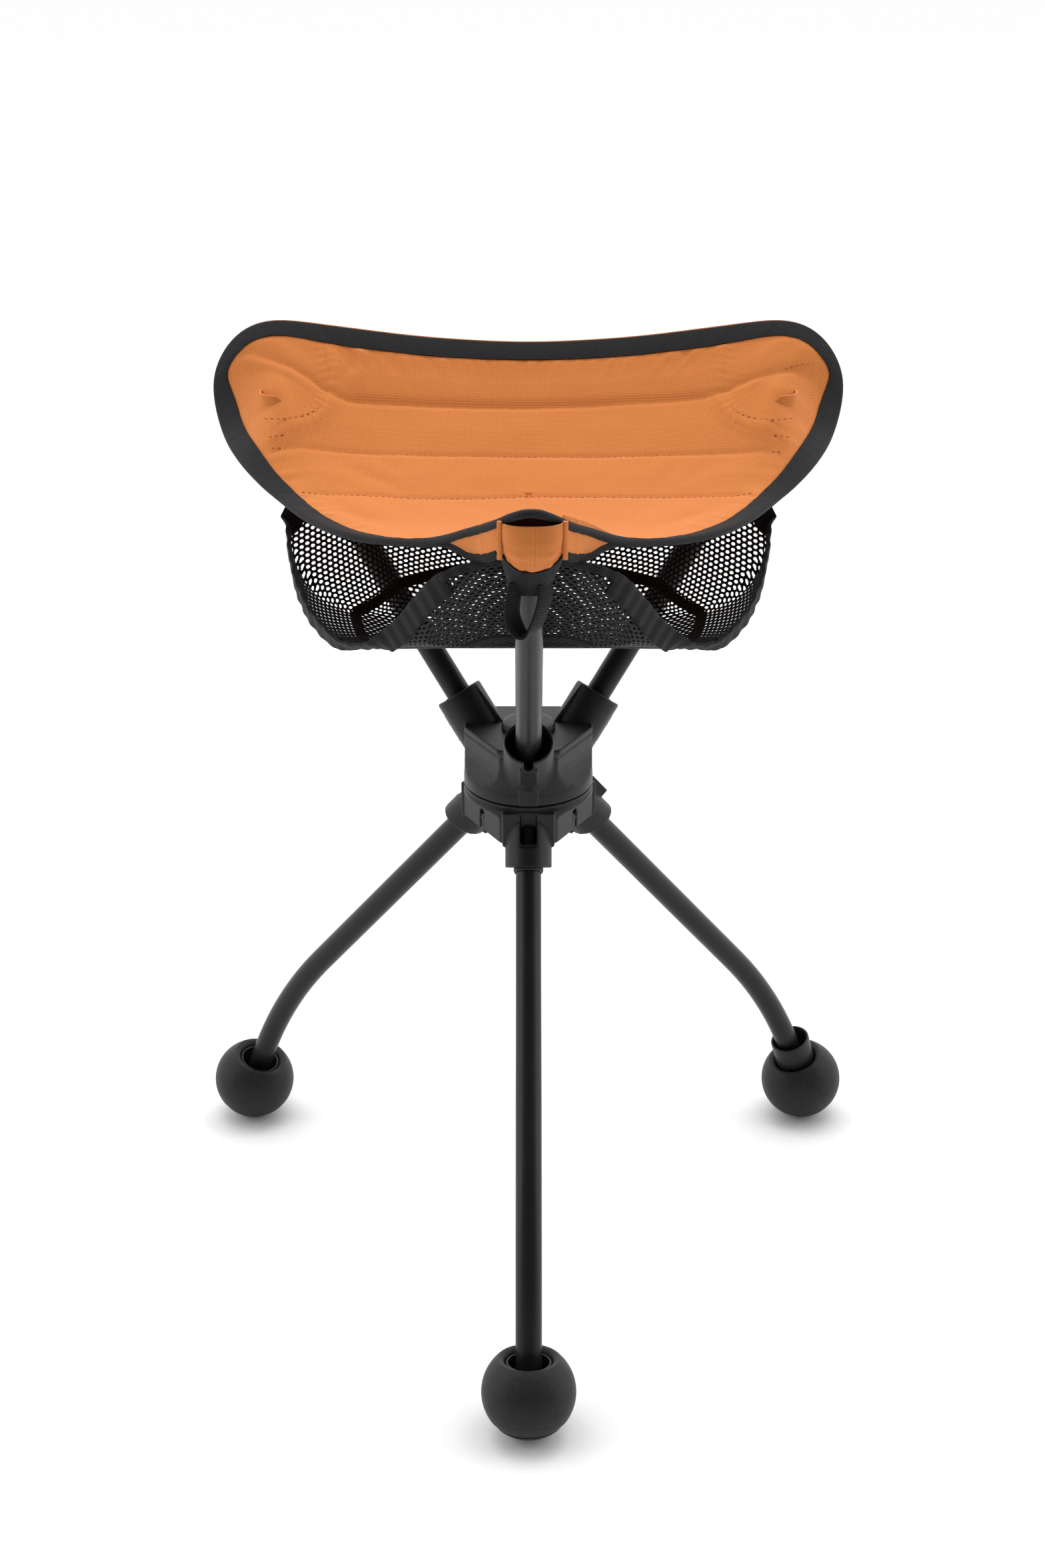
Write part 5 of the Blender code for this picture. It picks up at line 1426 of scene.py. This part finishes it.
def wall(name, k0, k1, nodes, margin=5.0):
    n_k, n_t = 220, 70
    ks = np.linspace(k0, k1, n_k)
    ts = np.linspace(T0, 1.0, n_t)
    pos = np.array([pouch_at(np.full(n_t, k), ts) for k in ks])               # columns, rows, xyz
    up = np.concatenate([np.zeros((n_k, 1)), np.cumsum(np.linalg.norm(np.diff(pos, axis=1), axis=2), axis=1)], axis=1)
    mid_row = pos[:, 22]
    arc = np.concatenate([[0], np.cumsum(np.linalg.norm(np.diff(mid_row, axis=0), axis=1))])
    arc -= arc[-1] / 2
    total = up[:, -1]

    def split(u):
        c = np.clip(np.interp(u, arc, np.arange(n_k)), 0, n_k - 1.001)
        i = c.astype(int)
        return i, c - i

    def locate(u, v):
        i, w = split(u)
        res = np.empty((len(u), 3))
        for q in range(len(u)):
            la, lb = up[i[q]], up[i[q] + 1]
            lev = la * (1 - w[q]) + lb * w[q]
            r = min(max(np.searchsorted(lev, v[q]) - 1, 0), n_t - 2)
            f = (v[q] - lev[r]) / max(lev[r + 1] - lev[r], 1e-6)
            a = pos[i[q], r] * (1 - f) + pos[i[q], r + 1] * f
            b = pos[i[q] + 1, r] * (1 - f) + pos[i[q] + 1, r + 1] * f
            res[q] = a * (1 - w[q]) + b * w[q]
        return res

    def accept(u, v):
        i, w = split(u)
        tot = total[i] * (1 - w) + total[i + 1] * w
        return (np.abs(u) < arc[-1] - 2.2) & (v > 1.0) & (v < tot - margin)

    obj, cut = net_mesh(name, locate, accept, arc[-1], total.max(), nodes)
    return obj, cut, 2 * arc[-1] / 1000.0, (total.max() - margin) / 1000.0


net_back, cut_back, wide_back, high_back = wall("pouch_net_back", -LOW, LOW, ("pouch_back_wall",))
net_front, cut_front, wide_front, high_front = wall("pouch_net_front", LOW, N_P - LOW, ("pouch_front_panel",))


def surface_line(ks, ts, off=0.0):
    """Points of the bowl with their outward normals."""
    p = pouch_at(ks, ts)
    du = pouch_at(np.asarray(ks) + 1.0, ts) - pouch_at(np.asarray(ks) - 1.0, ts)
    dt = pouch_at(ks, np.clip(np.asarray(ts) + 0.01, 0, 1)) - pouch_at(ks, np.asarray(ts) - 0.01)
    n = np.cross(du, dt)
    n /= np.linalg.norm(n, axis=1)[:, None]
    away = p - (P_C + np.array([0, 0, 60.0]))
    n *= np.sign((n * away).sum(1))[:, None]
    return p + n * off, n


def edge_tape(name, k0, k1, width, nodes=(), n=160, drop=0.5):
    """Tape folded over the upper edge: it lies on the outer face of the net and runs level with the edge."""
    ks = np.linspace(k0, k1, n)
    mids, norms = [], []
    for k in ks:
        ts = np.linspace(0.5, 1.0, 60)
        col = pouch_at(np.full(60, k), ts)
        back = np.concatenate([[0], np.cumsum(np.linalg.norm(np.diff(col[::-1], axis=0), axis=1))])
        t = np.interp(width * drop, back, ts[::-1])
        p, nn = surface_line([k], [t], 0.2)
        mids.append(p[0])
        norms.append(nn[0])
    mids, norms = np.array(mids), np.array(norms)
    for _ in range(6):
        mids[1:-1] = 0.5 * mids[1:-1] + 0.25 * (mids[:-2] + mids[2:])
        norms[1:-1] = 0.5 * norms[1:-1] + 0.25 * (norms[:-2] + norms[2:])
    wob = 0.35 * np.sin(np.arange(n) * 0.5) + 0.2 * np.sin(np.arange(n) * 0.23 + 1.0)
    mids = mids + norms * wob[:, None]
    return band(mids, norms, width, 2.0, name, WEBBING, "seat", nodes, "black_tape")


K_BACK = int(N_P * 0.165)
tape_0 = edge_tape("pouch_rim_tape_left", K_BACK, LOW + 4, 14.5, ("pouch_rim_left",))
tape_1 = edge_tape("pouch_rim_tape_right", N_P - K_BACK, N_P - LOW - 4, 14.5, ("pouch_rim_right",))
K_WING = int(np.argmin(np.abs(half[:, 0] + 45) + 100 * (half[:, 1] > 0)))
tape_2 = edge_tape("pouch_side_tape_left", LOW - 6, K_WING, 14.0)
tape_3 = edge_tape("pouch_side_tape_right", N_P - LOW + 6, N_P - K_WING, 14.0)
tape_4 = edge_tape("pouch_front_tape", K_WING - 4, N_P - K_WING + 4, 5.0, n=120)
tape_5 = edge_tape("pouch_back_tape", -K_BACK - 2, K_BACK + 2, 9.0, n=160)
ks = np.linspace(0, N_P, 260, endpoint=False)
p, nn = surface_line(ks, np.full(260, T0 + 0.004), 0.3)
floor_seam = band(p, nn, 6.5, 1.3, "pouch_floor_seam", WEBBING, "seat", (), "black_tape", closed=True)
for k, tag in ((LOW, "left"), (N_P - LOW, "right")):
    ts = np.linspace(T0 - 0.01, 0.97, 30)
    p, nn = surface_line(np.full(30, float(k)), ts, 0.4)
    band(p, nn, 7.0, 1.3, "pouch_corner_seam_" + tag, WEBBING, "seat", (), "black_tape")

# ---------------------------------------------------------------- the cloth's flat sizes
print("net cuts", cut_floor, cut_back, wide_back, high_back, cut_front, wide_front, high_front)


# ---------------------------------------------------------------- floor, light and camera
floor_me = bpy.data.meshes.new("floor")
floor_me.from_pydata([(-9, -9, 0), (9, -9, 0), (9, 9, 0), (-9, 9, 0)], [], [(0, 1, 2, 3)])
floor = bpy.data.objects.new("floor", floor_me)
bpy.context.scene.collection.objects.link(floor)
fm, fnt, fb = base_material("pale_floor", (0.93, 0.93, 0.93), 0.9, Specular_IOR_Level=0.1)
floor_me.materials.append(fm)

world = bpy.data.worlds.new("studio")
bpy.context.scene.world = world
world.use_nodes = True
wn = Net(world.node_tree)
bg = world.node_tree.nodes["Background"]
sep = wn.node("ShaderNodeSeparateXYZ")
wn.link(wn.node("ShaderNodeTexCoord").outputs["Generated"], sep.inputs[0])
# bright cyclorama behind, above and at the sides; darker studio on the near side
shade = wn.ramp(wn.math("MULTIPLY_ADD", sep.outputs[1], 0.5, 0.5), [(0.0, (0.07, 0.07, 0.07)), (0.25, (0.09, 0.09, 0.09)), (0.44, (0.62, 0.62, 0.62)), (0.56, (1.0, 1.0, 1.0))])
wn.link(shade, bg.inputs["Color"])
bg.inputs["Strength"].default_value = 1.62


def area(name, at, target, size, power):
    light = bpy.data.lights.new(name, "AREA")
    light.shape = "RECTANGLE"
    light.size, light.size_y = size
    light.energy = power
    ob = bpy.data.objects.new(name, light)
    bpy.context.scene.collection.objects.link(ob)
    ob.location = at
    d = Vector(target) - Vector(at)
    ob.rotation_euler = d.to_track_quat("-Z", "Y").to_euler()
    return ob


area("overhead", (0.0, 0.4, 2.6), (0, 0, 0.3), (2.4, 1.6), 26.0)
area("left_side", (-2.2, -0.4, 1.2), (0, 0, 0.3), (0.9, 2.2), 12.0)
area("right_side", (2.2, -0.2, 1.1), (0, 0, 0.3), (0.9, 2.2), 10.0)

cam = bpy.data.cameras.new("camera")
cam.lens = 52.85
cam.sensor_width = 36.0
cam.sensor_fit = "AUTO"
cam.clip_end = 100.0
cam_ob = bpy.data.objects.new("camera", cam)
bpy.context.scene.collection.objects.link(cam_ob)
cam_ob.location = (-0.00376, -1.27845, 0.9508)
cam_ob.rotation_euler = (math.radians(64.87), 0.0, 0.0)
bpy.context.scene.camera = cam_ob
bpy.context.scene.view_settings.view_transform = "Standard"
bpy.context.scene.view_settings.look = "None"
